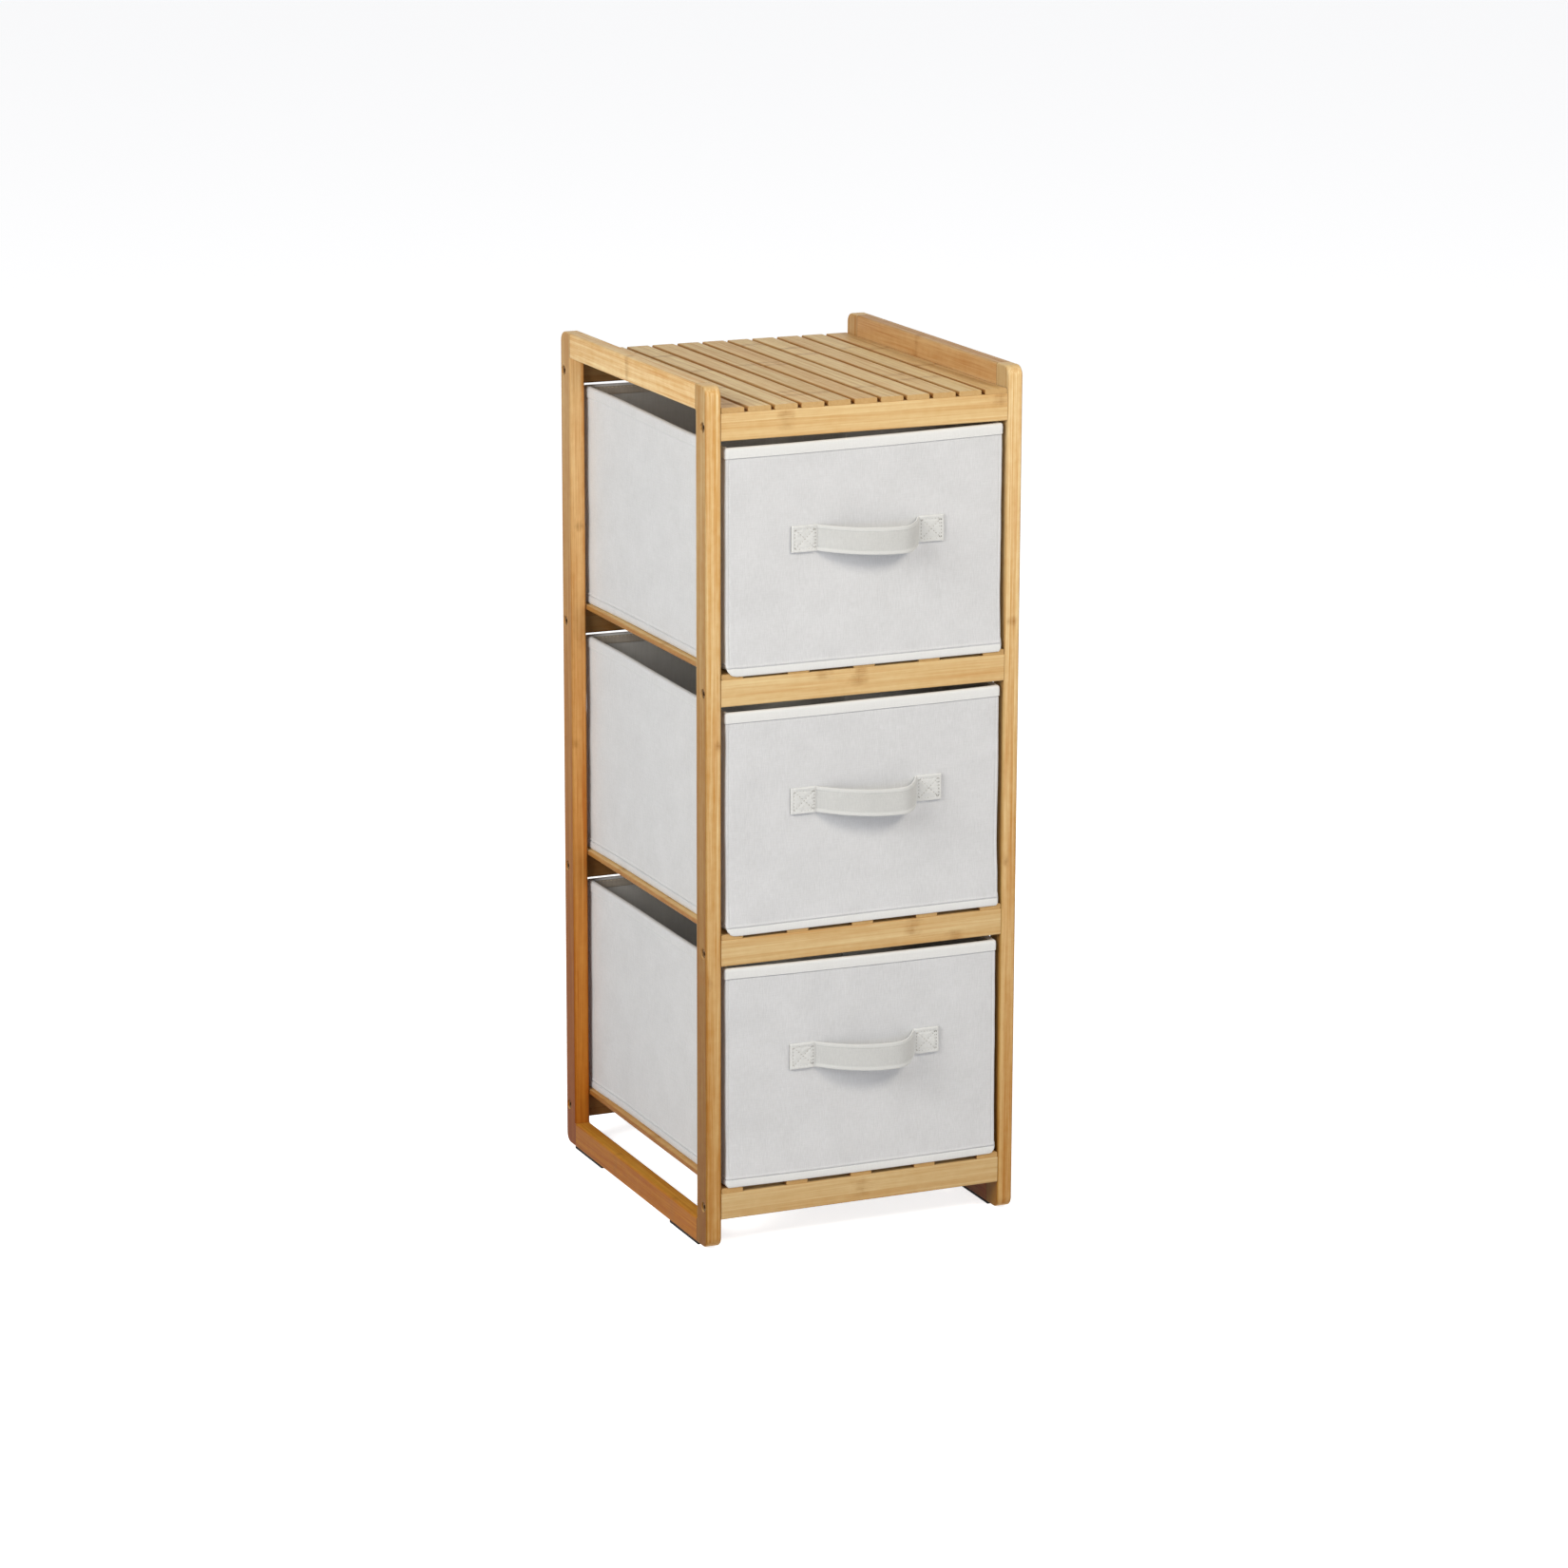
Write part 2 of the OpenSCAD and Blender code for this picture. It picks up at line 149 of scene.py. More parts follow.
class FabricSettings(bpy.types.PropertyGroup):
    cloth_light: colour("Cloth, light threads", "Lightest thread of the outer cloth", "#e5e6e8")
    cloth_dark: colour("Cloth, dark threads", "Darkest thread of the outer cloth", "#d0d1d2")
    tape_light: colour("Binding, light threads", "Lightest thread of the binding", "#f1f2f1")
    tape_dark: colour("Binding, dark threads", "Darkest thread of the binding", "#e1e2e0")
    lining_light: colour("Lining, light fibres", "Lightest fibre of the lining", "#cfcdca")
    lining_dark: colour("Lining, dark fibres", "Darkest fibre of the lining", "#bdbbb7")
    hem_light: colour("Hem, light fibres", "Lightest fibre of the inner hem", "#cdc3b6")
    hem_dark: colour("Hem, dark fibres", "Darkest fibre of the inner hem", "#aca194")
    hem_thread: colour("Hem thread, light", "Lightest fibre of the hem thread", "#efe2c8")
    hem_thread_dark: colour("Hem thread, dark", "Darkest fibre of the hem thread", "#e2d3b6")
    thread: length("Thread spacing", "Distance between two threads of the weave", 0.0009)
    wall_wave: length("Wall wave", "How far the cloth waves on its board", 0.0007)
    rim_dip: length("Rim dip", "How far a rim sinks between two corners", 0.0008)
    corner: length("Corner radius", "Radius of the upright edges of a box", 0.003)
    offset: length("Offset", "How far the boxes stand to the right of the middle", 0.0009)
    flare: length("Flare", "How far the side walls flare at the back", 0.0019)


class HandleSettings(bpy.types.PropertyGroup):
    # The free handle tape is drawn darker than its sewn ends, as painted shade
    light: colour("Handle, light threads", "Lightest thread of the handle tape", "#d6d7d5")
    dark: colour("Handle, dark threads", "Darkest thread of the handle tape", "#c1c2c0")
    # Painted shade: the dark cut ends stand in for the shade along the edges of the sewn ends
    cut: colour("Cut ends, light", "Lightest tone of the cut ends of the tape", "#999792")
    cut_dark: colour("Cut ends, dark", "Darkest tone of the cut ends of the tape", "#83817c")
    fold_light: colour("Fold, light threads", "Lightest thread of the folded edges", "#dedfdd")
    fold_dark: colour("Fold, dark threads", "Darkest thread of the folded edges", "#cfd0ce")
    # The sewn ends: a lighter copy of the handle tape, beside the free tape's painted shade
    sewn_light: colour("Sewn end, light threads", "Lightest thread of the sewn ends", "#e7e8e6")
    sewn_dark: colour("Sewn end, dark threads", "Darkest thread of the sewn ends", "#d5d6d4")
    # The handle threads are darker than the tape, partly their own grey and partly painted shade in
    # the stitch dimples
    thread: colour("Stitches, light", "Lightest fibre of the sewing thread", "#c0beb7")
    thread_dark: colour("Stitches, dark", "Darkest fibre of the sewing thread", "#b0aea7")
    grey_thread: colour("Strong stitches, light", "Lightest fibre of the grey thread", "#92908a")
    grey_thread_dark: colour("Strong stitches, dark", "Darkest fibre of the grey thread", "#827f79")
    sag: length("Sag", "How far the middle of the tape hangs down", 0.0053)
    edge_fold: length("Edge fold", "Width of the folded edges of the tape", 0.0036)
    lean: angle("Lean", "How far the lower edge of the tape stands out more than the upper", 9)


# Materials


def new_nodes(holder):
    """The empty node tree of a material or a world."""
    holder.use_nodes = True
    holder.node_tree.nodes.clear()
    return holder.node_tree


def add(tree, kind, inputs=(), **settings):
    """Adds a node and gives its outputs. Inputs map a socket to a value, or to the output that
    feeds it."""
    node = tree.nodes.new("ShaderNode" + kind)
    for name, value in settings.items():
        setattr(node, name, value)
    for key, value in dict(inputs).items():
        if isinstance(value, bpy.types.NodeSocket):
            tree.links.new(value, node.inputs[key])
        else:
            node.inputs[key].default_value = value
    return node.outputs


def finish_material(material, surface):
    """Links a shader with these inputs to the material's output."""
    shader = add(material.node_tree, "BsdfPrincipled", surface)[0]
    add(material.node_tree, "OutputMaterial", {"Surface": shader})
    return material


def seen_rays(tree):
    """1 where the camera, a reflection or glass looks, and 0 for the light on other things."""
    rays = add(tree, "LightPath")
    seen = rays["Is Camera Ray"]
    for word in ("Is Glossy Ray", "Is Transmission Ray"):
        seen = add(tree, "Math", {0: seen, 1: rays[word]}, operation="MAXIMUM")[0]
    return seen


def streaks(tree, place, sizes, detail=2.0, offset=None):
    """Noise whose grains have these sizes along X, Y and Z, in metres."""
    scales = [1 / size for size in sizes]
    spot = add(tree, "VectorMath", {0: place, 1: scales}, operation="MULTIPLY")[0]
    if offset is not None:
        spot = add(tree, "VectorMath", {0: spot, 1: offset}, operation="ADD")[0]
    return add(tree, "TexNoise", {"Vector": spot, "Scale": 1.0, "Detail": detail})["Fac"]


def weighted(tree, parts):
    """A half plus each noise's swing round a half, times its weight."""
    total = 0.5 - sum(weight for _, weight in parts) / 2
    for output, weight in parts:
        total = add(tree, "Math", {0: output, 1: weight, 2: total}, operation="MULTIPLY_ADD")[0]
    return total


LUCK_WORDS = ("grain_seed", "amber", "shade", "knuckle_1", "strip_1", "knuckle_2", "strip_2")


def bamboo(name, grain, layers, layer, tones, contrast, settings):
    """Laminated bamboo, sanded and sealed with satin lacquer: strips of slightly different honey
    tones, fine fibres along the grain, and darker knuckles where the cane had its joints.
    grain and layers are axis numbers, layer is the thickness of a strip, and tones are the light
    and dark fibres, the tints of a strip's broad face and of its edges, which paint shade by which
    way a face turns, the tint near the floor and the further tint of a broad face near the floor,
    which paint the shade that falls low down, and the tone of a sawn end. contrast is how strongly
    the grain shows."""
    light, dark, broad_face_shade, edge_face_shade, floor_shade_tint, broad_floor_shade_tint, sawn_tone = tones
    material = bpy.data.materials.new(name)
    tree = new_nodes(material)
    lies = add(tree, "TexCoord")
    place = lies["Object"]
    axes = add(tree, "SeparateXYZ", {0: place})
    told = {
        word: add(tree, "Attribute", attribute_type="OBJECT", attribute_name=word)["Fac"]
        for word in ("layer_start", "seam_low", "seam_high", *LUCK_WORDS)
    }

    start = told["layer_start"]
    from_start = add(tree, "Math", {0: axes[layers], 1: start}, operation="SUBTRACT")[0]
    layer_count = add(tree, "Math", {0: from_start, 1: layer}, operation="DIVIDE")[0]
    layer_number = add(tree, "Math", {0: layer_count}, operation="FLOOR")[0]
    strip = add(tree, "CombineXYZ", {0: layer_number, 1: told["grain_seed"], 2: 0.5})[0]
    luck = add(tree, "TexWhiteNoise", {"Vector": strip})
    offset = add(tree, "VectorMath", {0: luck["Color"], "Scale": 40.0}, operation="SCALE")[0]

    # Fibre bundles are 0.4 mm wide, too fine to show from here, and are drawn 0.9 mm wide
    fibre = [0.9 * MM] * 3
    fibre[grain] = 45 * MM
    band = [4 * MM] * 3
    band[grain] = 220 * MM
    fibres = streaks(tree, place, fibre, 3.0, offset)
    bands = streaks(tree, place, band, 2.0, offset)
    patches = streaks(tree, place, [9 * MM] * 3, 2.0, offset)
    parts = ((fibres, 1.15), (bands, 1.5), (luck["Value"], 0.55), (patches, 0.5))
    tone = weighted(tree, [(output, weight * contrast) for output, weight in parts])
    inputs = {"Factor": tone, "A": list(dark), "B": list(light)}
    wood = add(tree, "Mix", inputs, data_type="RGBA")["Result"]

    # Fibres near the skin of the cane run through it as amber streaks
    ember_size = [2.2 * MM] * 3
    ember_size[grain] = 120 * MM
    ember = streaks(tree, place, ember_size, 2.0, luck["Color"])
    inputs = {"Value": ember, "From Min": 0.5, "From Max": 0.72, "To Max": 0.45 * contrast}
    ember = add(tree, "MapRange", inputs)[0]
    inputs = {"Factor": ember, "A": wood, "B": linear("#cf8b3e")}
    wood = add(tree, "Mix", inputs, data_type="RGBA")["Result"]

    # Tints by which way a face turns paint shade that differs from face to face: darker side faces
    # on the posts and side rails, and darker sides of the slats in the gaps between them. Towards
    # the floor further tints paint the shade that falls low down, darker and more orange, and each
    # piece's amber tone deepens there as painted shade too
    turned = add(tree, "SeparateXYZ", {0: lies["Normal"]})
    broad, edge, end_on = [
        add(tree, "Math", {0: turned[axis]}, operation="ABSOLUTE")[0]
        for axis in (layers, 3 - grain - layers, grain)
    ]
    low = add(tree, "MapRange", {"Value": axes["Z"], "From Min": 0.75, "From Max": 0.05})[0]
    broad_floor_shade = add(tree, "Math", {0: low, 1: broad}, operation="MULTIPLY")[0]
    floor_shade_ramp = add(tree, "Math", {0: low, 1: 0.65, 2: 0.35}, operation="MULTIPLY_ADD")[0]
    amber = add(tree, "Math", {0: told["amber"], 1: floor_shade_ramp}, operation="MULTIPLY")[0]
    white = linear("#ffffff")
    for share, tint in (
        (broad, linear(broad_face_shade)),
        (edge, linear(edge_face_shade)),
        (low, linear(floor_shade_tint)),
        (broad_floor_shade, linear(broad_floor_shade_tint)),
        (amber, list(settings.amber)),
        # Painted shade on pieces that stand in shadow
        (told["shade"], list(settings.shade)),
    ):
        if tint != white:
            inputs = {"Factor": share, "A": wood, "B": tint}
            wood = add(tree, "Mix", inputs, data_type="RGBA", blend_type="MULTIPLY")["Result"]

    # Knuckles: soft amber patches, each in one strip and half of the next, with a thin line
    half_width = settings.knuckle_width * (1.5 if grain == 0 else 1)
    knuckle = 0.0
    for which in (1, 2):
        along, across = told[f"knuckle_{which}"], told[f"strip_{which}"]
        moved = add(tree, "Math", {0: axes[grain], 1: along}, operation="SUBTRACT")[0]
        away = add(tree, "Math", {0: moved}, operation="ABSOLUTE")[0]
        inputs = {0: patches, 1: half_width * 0.8, 2: away}
        wobble = add(tree, "Math", inputs, operation="MULTIPLY_ADD")[0]
        layers_of_tone = []
        for outer, inner, strength in ((1, 0.35, 0.42), (0.42, 0.28, 0.2)):
            inputs = {"Value": wobble, "To Max": strength}
            inputs["From Min"], inputs["From Max"] = half_width * outer, half_width * inner
            patch = add(tree, "MapRange", inputs, interpolation_type="SMOOTHSTEP")[0]
            layers_of_tone.append(patch)
        wide, thin = layers_of_tone
        both = add(tree, "Math", {0: wide, 1: thin}, operation="ADD")[0]
        apart = add(tree, "Math", {0: layer_count, 1: across}, operation="SUBTRACT")[0]
        apart = add(tree, "Math", {0: apart}, operation="ABSOLUTE")[0]
        inputs = {"Value": apart, "From Min": 1.25, "From Max": 0.65}
        near = add(tree, "MapRange", inputs, interpolation_type="SMOOTHSTEP")[0]
        inputs = {0: both, 1: near, 2: knuckle}
        knuckle = add(tree, "Math", inputs, operation="MULTIPLY_ADD")[0]
    inputs = {"Value": fibres, "From Min": 0.3, "From Max": 0.65, "To Min": 1.2, "To Max": 0.45}
    broken = add(tree, "MapRange", inputs)[0]
    knuckle = add(tree, "Math", {0: knuckle, 1: broken}, operation="MULTIPLY")[0]
    inputs = {"Factor": knuckle, "A": wood, "B": list(settings.knuckle)}
    wood = add(tree, "Mix", inputs, data_type="RGBA")["Result"]

    # Sawn ends show the fibres head on, as an even tone
    inputs = {"Value": end_on, "From Min": 0.5, "From Max": 0.95, "To Max": 0.75}
    inputs = {"Factor": add(tree, "MapRange", inputs)[0], "A": wood, "B": linear(sawn_tone)}
    wood = add(tree, "Mix", inputs, data_type="RGBA")["Result"]

    # The thin dark line where a rail butts against its posts: a glue line, with painted shade in
    # the joint
    above = add(tree, "Math", {0: axes[grain], 1: told["seam_low"]}, operation="SUBTRACT")[0]
    below = add(tree, "Math", {0: told["seam_high"], 1: axes[grain]}, operation="SUBTRACT")[0]
    nearest = add(tree, "Math", {0: above, 1: below}, operation="MINIMUM")[0]
    inputs = {"Value": nearest, "From Min": 0.9 * MM, "From Max": 0.2 * MM, "To Max": 0.75}
    inputs = {"Factor": add(tree, "MapRange", inputs)[0], "A": wood, "B": linear("#5b3a1a")}
    wood = add(tree, "Mix", inputs, data_type="RGBA")["Result"]

    inputs = {"Value": fibres, "From Min": 0.25, "From Max": 0.75}
    inputs["To Min"], inputs["To Max"] = settings.roughness + 0.07, settings.roughness - 0.05
    gloss = add(tree, "MapRange", inputs)[0]
    relief = add(tree, "Math", {0: knuckle, 1: 0.6, 2: fibres}, operation="MULTIPLY_ADD")[0]
    bump = add(tree, "Bump", {"Height": relief, "Strength": 0.25, "Distance": 0.2 * MM})[0]
    surface = {"Base Color": wood, "Roughness": gloss, "Normal": bump, "IOR": 1.5}
    surface["Specular IOR Level"] = 0.07
    return finish_material(material, surface)


def cloth(name, light, dark, thread, contrast, relief, sheen):
    """Woven or pressed fabric: uneven threads up and across, soft cloudy patches, and no gloss.
    The real threads are 0.4 mm apart, too fine to show, so they are drawn at the spacing given."""
    material = bpy.data.materials.new(name)
    tree = new_nodes(material)
    place = add(tree, "TexCoord")["Object"]
    warp = streaks(tree, place, [thread, thread, thread * 8])
    weft = streaks(tree, place, [thread * 9, thread * 9, thread])
    clouds = streaks(tree, place, [35 * MM] * 3)
    parts = ((warp, 1.0), (weft, 0.5), (clouds, 0.6))
    tone = weighted(tree, [(output, weight * contrast) for output, weight in parts])
    inputs = {"Factor": tone, "A": list(dark), "B": list(light)}
    threads = add(tree, "Mix", inputs, data_type="RGBA")["Result"]
    height = weighted(tree, [(warp, 1.0), (weft, 1.0)])
    bump = add(tree, "Bump", {"Height": height, "Strength": relief, "Distance": 0.35 * MM})[0]
    surface = {"Base Color": threads, "Roughness": 0.9, "Normal": bump}
    surface.update({"Sheen Weight": sheen, "Sheen Roughness": 0.5})
    return finish_material(material, surface)


def plain(name, light, dark, grain, roughness, metallic=0.0):
    """A finish with fine mottling: moulded rubber, turned brass, plated steel or pressed board."""
    material = bpy.data.materials.new(name)
    tree = new_nodes(material)
    place = add(tree, "TexCoord")["Object"]
    mottle = streaks(tree, place, grain, 3.0)
    inputs = {"Factor": weighted(tree, [(mottle, 2.0)]), "A": linear(dark), "B": linear(light)}
    tone = add(tree, "Mix", inputs, data_type="RGBA")["Result"]
    inputs = {"Value": mottle, "From Min": 0.3, "From Max": 0.7}
    inputs["To Min"], inputs["To Max"] = roughness - 0.06, roughness + 0.06
    gloss = add(tree, "MapRange", inputs)[0]
    bump = add(tree, "Bump", {"Height": mottle, "Strength": 0.2, "Distance": 0.1 * MM})[0]
    surface = {"Base Color": tone, "Roughness": gloss, "Metallic": metallic, "Normal": bump}
    return finish_material(material, surface)


def fabric(context, name):
    """One of the unit's fabrics by name, made once."""
    if name in bpy.data.materials:
        return bpy.data.materials[name]
    box = context.scene.shelf_fabric
    tape = context.scene.shelf_handle
    weave = box.thread
    twill = box.thread * 0.8
    felt = 2 * MM
    fibre = 0.6 * MM
    fabrics = {
        # Plain-woven polyester with slubby yarn, for the dull uneven look of linen
        "woven_linen_look_polyester": (box.cloth_light, box.cloth_dark, weave, 1.0, 0.35, 0.15),
        # Binding cut from a brighter, smoother cloth and folded over the edge
        "folded_binding_tape": (box.tape_light, box.tape_dark, weave, 0.6, 0.2, 0.15),
        # Twill tape: closer threads, a shade greyer than the cloth. The free tape is drawn darker
        # than its sewn ends, as painted shade
        "twill_handle_tape": (tape.light, tape.dark, twill, 0.9, 0.35, 0.15),
        # The same tape where it is folded double, so that less shows through
        "folded_handle_edge": (tape.fold_light, tape.fold_dark, twill, 0.6, 0.35, 0.15),
        # The sewn ends: the same tape, lighter than the free tape and its painted shade
        "sewn_handle_end": (tape.sewn_light, tape.sewn_dark, twill, 0.6, 0.35, 0.15),
        # The cut ends: a dark tone that paints the shade along the edges of the sewn ends
        "cut_end_painted_shade": (tape.cut, tape.cut_dark, twill, 0.6, 0.35, 0.15),
        # Pressed fibres without a weave: matt, blotchy and a little rough
        "non_woven_lining": (box.lining_light, box.lining_dark, felt, 0.8, 0.3, 0.05),
        "non_woven_hem": (box.hem_light, box.hem_dark, felt, 0.8, 0.3, 0.05),
        # Spun polyester thread: dull, with fine fibres
        "bleached_rim_thread": (box.tape_light, box.tape_dark, fibre, 0.5, 0.35, 0.15),
        "polyester_hem_thread": (box.hem_thread, box.hem_thread_dark, fibre, 0.5, 0.35, 0.15),
        # The handle threads are darker than the tape, partly their own grey and partly painted shade
        # in the stitch dimples
        "white_sewing_thread": (tape.thread, tape.thread_dark, fibre, 0.8, 0.35, 0.15),
        "grey_sewing_thread": (tape.grey_thread, tape.grey_thread_dark, fibre, 0.8, 0.35, 0.15),
    }
    return cloth(name, *fabrics[name])


def give(node_name, material):
    """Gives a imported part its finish."""
    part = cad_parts[node_name]
    if not part.material_slots:
        part.data.materials.append(material)
    for held in part.material_slots:
        held.material = material
    return part


# Meshes


class Place:
    """Where one fabric box stands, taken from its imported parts."""

    def __init__(self, name, corner):
        low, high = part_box(f"{name}_foot_binding")
        self.name = name
        self.number = BOX_NAMES.index(name)
        self.x = (low.x + high.x) / 2
        self.y = (low.y + high.y) / 2
        self.half_w = (high.x - low.x) / 2
        self.half_d = (high.y - low.y) / 2
        self.foot = low.z
        self.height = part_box(f"{name}_top_binding")[1].z - low.z
        self.corner = corner


def places(context):
    """The three boxes, from the bottom up."""
    return [Place(name, context.scene.shelf_fabric.corner) for name in BOX_NAMES]


# How far the stiff boards stand behind the cloth, which sinks into its creases
BOARD_GAP = 0.8 * MM
# How round the lower front corners of each box are, left and right, in millimetres
FOOT_ROUNDING = {"bottom_box": (4, 7), "middle_box": (11, 3), "top_box": (12, 4)}
# How much higher the front rim of each box stands at its left and right end, in millimetres
RIM_LEAN = {"bottom_box": (2.4, -0.4), "middle_box": (-1.0, 0.8), "top_box": (-2.0, 3.0)}
# How far the front foot of each box hangs over the slats, at its left end, middle and right end,
# in millimetres
FOOT_HANG = {
    "bottom_box": (0.4, 1.8, 1.3),
    "middle_box": (3.2, 2.3, 2.0),
    "top_box": (3.6, 3.4, 2.7),
}


def settle(place, settings, point):
    """Where sewn cloth that should be at a point really lies: rims lean and dip between the
    corners, walls bow and flare, and the foot of the front wall is rounded and hangs a little
    in front of the slats."""
    x, y, z = point
    across = (x - place.x) / place.half_w
    along = (y - place.y) / place.half_d
    rise = z - place.foot
    up = max(rise / place.height, 0)
    from_front = y - place.y + place.half_d

    # The rim
    z -= settings.rim_dip * up**3 * (1 - min(across * across * along * along, 1))
    left, right = RIM_LEAN[place.name]
    lean = (left * (1 - across) + right * (1 + across)) / 2 * MM
    backward = smooth(-0.6, 0.9, along)
    z += up * (lean * (1 - backward) + 2.6 * MM * backward)
    z += up * max(across, 0) ** 4 * 2.3 * MM * smooth(-0.99, -0.85, along)

    # The walls
    x += across * (1 - along * along) * (0.2 + up) * -0.45 * MM
    x += settings.offset + across * settings.flare * smooth(0.4, 0.95, along)
    x += max(across, 0) * 1.1 * MM
    x += min(across, 0) * 1.6 * MM * (1 - smooth(-1.0, -0.5, along))
    y += along * (1 - across * across) * up * 0.35 * MM

    # The foot in front
    left, middle, right = FOOT_HANG[place.name]
    hang = middle + (right - left) / 2 * across + ((right + left) / 2 - middle) * across**2
    low = 1 - smooth(2 * MM, 60 * MM, rise)
    y -= 2.4 * MM * low * (1 - smooth(6 * MM, 16 * MM, from_front))
    z -= hang * MM * low * (1 - smooth(1.45 * MM, 1.7 * MM, from_front))

    wander = [
        noise.noise(Vector((x, y, z)) * 14 + Vector((place.number * 7.3, axis * 9.7, 1.7)))
        for axis in range(3)
    ]
    x += wander[0] * 0.35 * MM
    y += wander[1] * 0.3 * MM
    z += wander[2] * 0.5 * MM * max(up - 0.5, 0)

    near_front = 1 - smooth(0, 0.16, (along + 1) / 2)
    for side, rounding in zip((-1, 1), FOOT_ROUNDING[place.name]):
        reach = rounding * MM
        a, b = reach - place.half_w * (1 - side * across), reach - rise
        if a > 0 and b > 0 and near_front > 0:
            pull = (1 - max(a, b) / math.hypot(a, b)) * near_front
            x -= side * a * pull
            z += b * pull
    return Vector((x, y, z))


def side_stations(half):
    """Places along one straight wall, closer together near its ends."""
    near = [half - end * MM for end in (0, 0.6, 1.2, 1.8, 2.6, 4.2, 7.5, 12)]
    middle = near[-1]
    steps = max(int(2 * middle / (7 * MM)), 4)
    inner = [middle * (1 - 2 * step / steps) for step in range(1, steps)]
    return [-at for at in near] + [-at for at in inner] + near[::-1]


def front_points(place):
    """How many points of a ring lie on the front wall."""
    return len(side_stations(place.half_w - place.corner))


def ring(place, inset, z):
    """Points round a box at one inset and height, as (point, outward, wall, distance to the
    wall's end). Walls are 0 front, 1 right, 2 back and 3 left, and -1 in a corner."""
    radius = max(place.corner - inset, 0.8 * MM)
    found = []
    for wall in range(4):
        outward = Vector(((0, -1), (1, 0), (0, 1), (-1, 0))[wall])
        along = Vector((-outward.y, outward.x))
        half_run, half_out = place.half_w, place.half_d
        if wall % 2:
            half_run, half_out = half_out, half_run
        nominal = half_run - place.corner
        run = half_run - inset - radius
        out = half_out - inset
        for at in side_stations(nominal):
            flat = along * (at * run / nominal) + outward * out
            found.append((flat, outward, wall, nominal - abs(at)))
        for step in range(1, 8):
            turn = math.pi / 2 * step / 8
            facing = outward * math.cos(turn) + along * math.sin(turn)
            flat = along * run + outward * (out - radius) + facing * radius
            found.append((flat, facing, -1, 0))
    return [
        (
            Vector((place.x + flat.x, place.y + flat.y, place.foot + z)),
            Vector((facing.x, facing.y, 0)),
            wall,
            end,
        )
        for flat, facing, wall, end in found
    ]


def settled_rings(place, settings, profile):
    """The settled rings of a box, from (inset, height over the foot) in millimetres."""
    return [
        [settle(place, settings, spot[0]) for spot in ring(place, inset * MM, z * MM)]
        for inset, z in profile
    ]


def front_places(place):
    """The places in a ring that are on the front wall or in the corners beside it."""
    count = len(ring(place, 0, 0))
    return {at for at in range(count) if at < front_points(place) + 2 or at > count - 6}


def close_end(mesh, row, mirror):
    """Closes a ring with strips that run from its left half to its right half. The ring is
    symmetric, and mirror is the number of points that its first straight side has."""
    count = len(row)
    pairs = [
        (row[(mirror // 2 + step) % count], row[((mirror - 1) // 2 - step) % count])
        for step in range(count // 2 + mirror % 2)
    ]
    for (a, b), (c, d) in zip(pairs, pairs[1:]):
        mesh.faces.new(list(dict.fromkeys((a, c, d, b)))).smooth = True


def loft(rings, closed_profile=False, close_first=False, close_last=False, mirror=0, paint=None):
    """A mesh skinned over rings that have the same number of points. paint gives the material
    number of each face from its band between two rings and its place in the ring."""
    mesh = bmesh.new()
    rows = [[mesh.verts.new(point) for point in points] for points in rings]
    pairs = list(zip(rows, rows[1:]))
    if closed_profile:
        pairs.append((rows[-1], rows[0]))
    count = len(rows[0])
    for band, (lower, upper) in enumerate(pairs):
        for at in range(count):
            after = (at + 1) % count
            face = mesh.faces.new((lower[at], lower[after], upper[after], upper[at]))
            face.smooth = True
            face.material_index = paint(band, at) if paint else 0
    if close_first:
        close_end(mesh, rows[0], mirror)
    if close_last:
        close_end(mesh, rows[-1], mirror)
    bmesh.ops.recalc_face_normals(mesh, faces=mesh.faces)
    return mesh


def unit_thread():
    """Points and faces of a ball of radius 1, six sided, for one stitch."""
    points, faces = [Vector((-1, 0, 0))], []
    for row in range(1, 4):
        tilt = math.pi * row / 4
        reach = math.sin(tilt)
        for turn in range(6):
            around = math.tau * turn / 6
            points.append(
                Vector((-math.cos(tilt), reach * math.cos(around), reach * math.sin(around)))
            )
    points.append(Vector((1, 0, 0)))
    for turn in range(6):
        after = (turn + 1) % 6
        faces.append((0, 1 + after, 1 + turn))
        for row in (1, 7):
            faces.append((row + turn, row + after, row + 6 + after, row + 6 + turn))
        faces.append((19, 13 + turn, 13 + after))
    return points, faces


THREAD_POINTS, THREAD_FACES = unit_thread()


def stitch(mesh, middle, along, facing, size, width, paint):
    """One sewn stitch: a small rounded thread that lies along a direction."""
    along = along.normalized()
    facing = (facing - along * facing.dot(along)).normalized()
    across = facing.cross(along)
    half_l, half_w = size / 2, width / 2
    corners = [
        mesh.verts.new(middle + along * p.x * half_l + across * p.y * half_w + facing * p.z * half_w)
        for p in THREAD_POINTS
    ]
    for points in THREAD_FACES:
        face = mesh.faces.new([corners[at] for at in points])
        face.smooth = True
        face.material_index = paint


def stitch_run(mesh, points, facings, spacing, size, width, paint=0):
    """Stitches at even spacing along a line of points."""
    travelled, due = 0.0, spacing / 2
    for start, end, facing in zip(points, points[1:], facings):
        step = (end - start).length
        while step > 0 and due <= travelled + step:
            middle = start.lerp(end, (due - travelled) / step)
            stitch(mesh, middle, end - start, facing, size, width, paint)
            due += spacing
        travelled += step


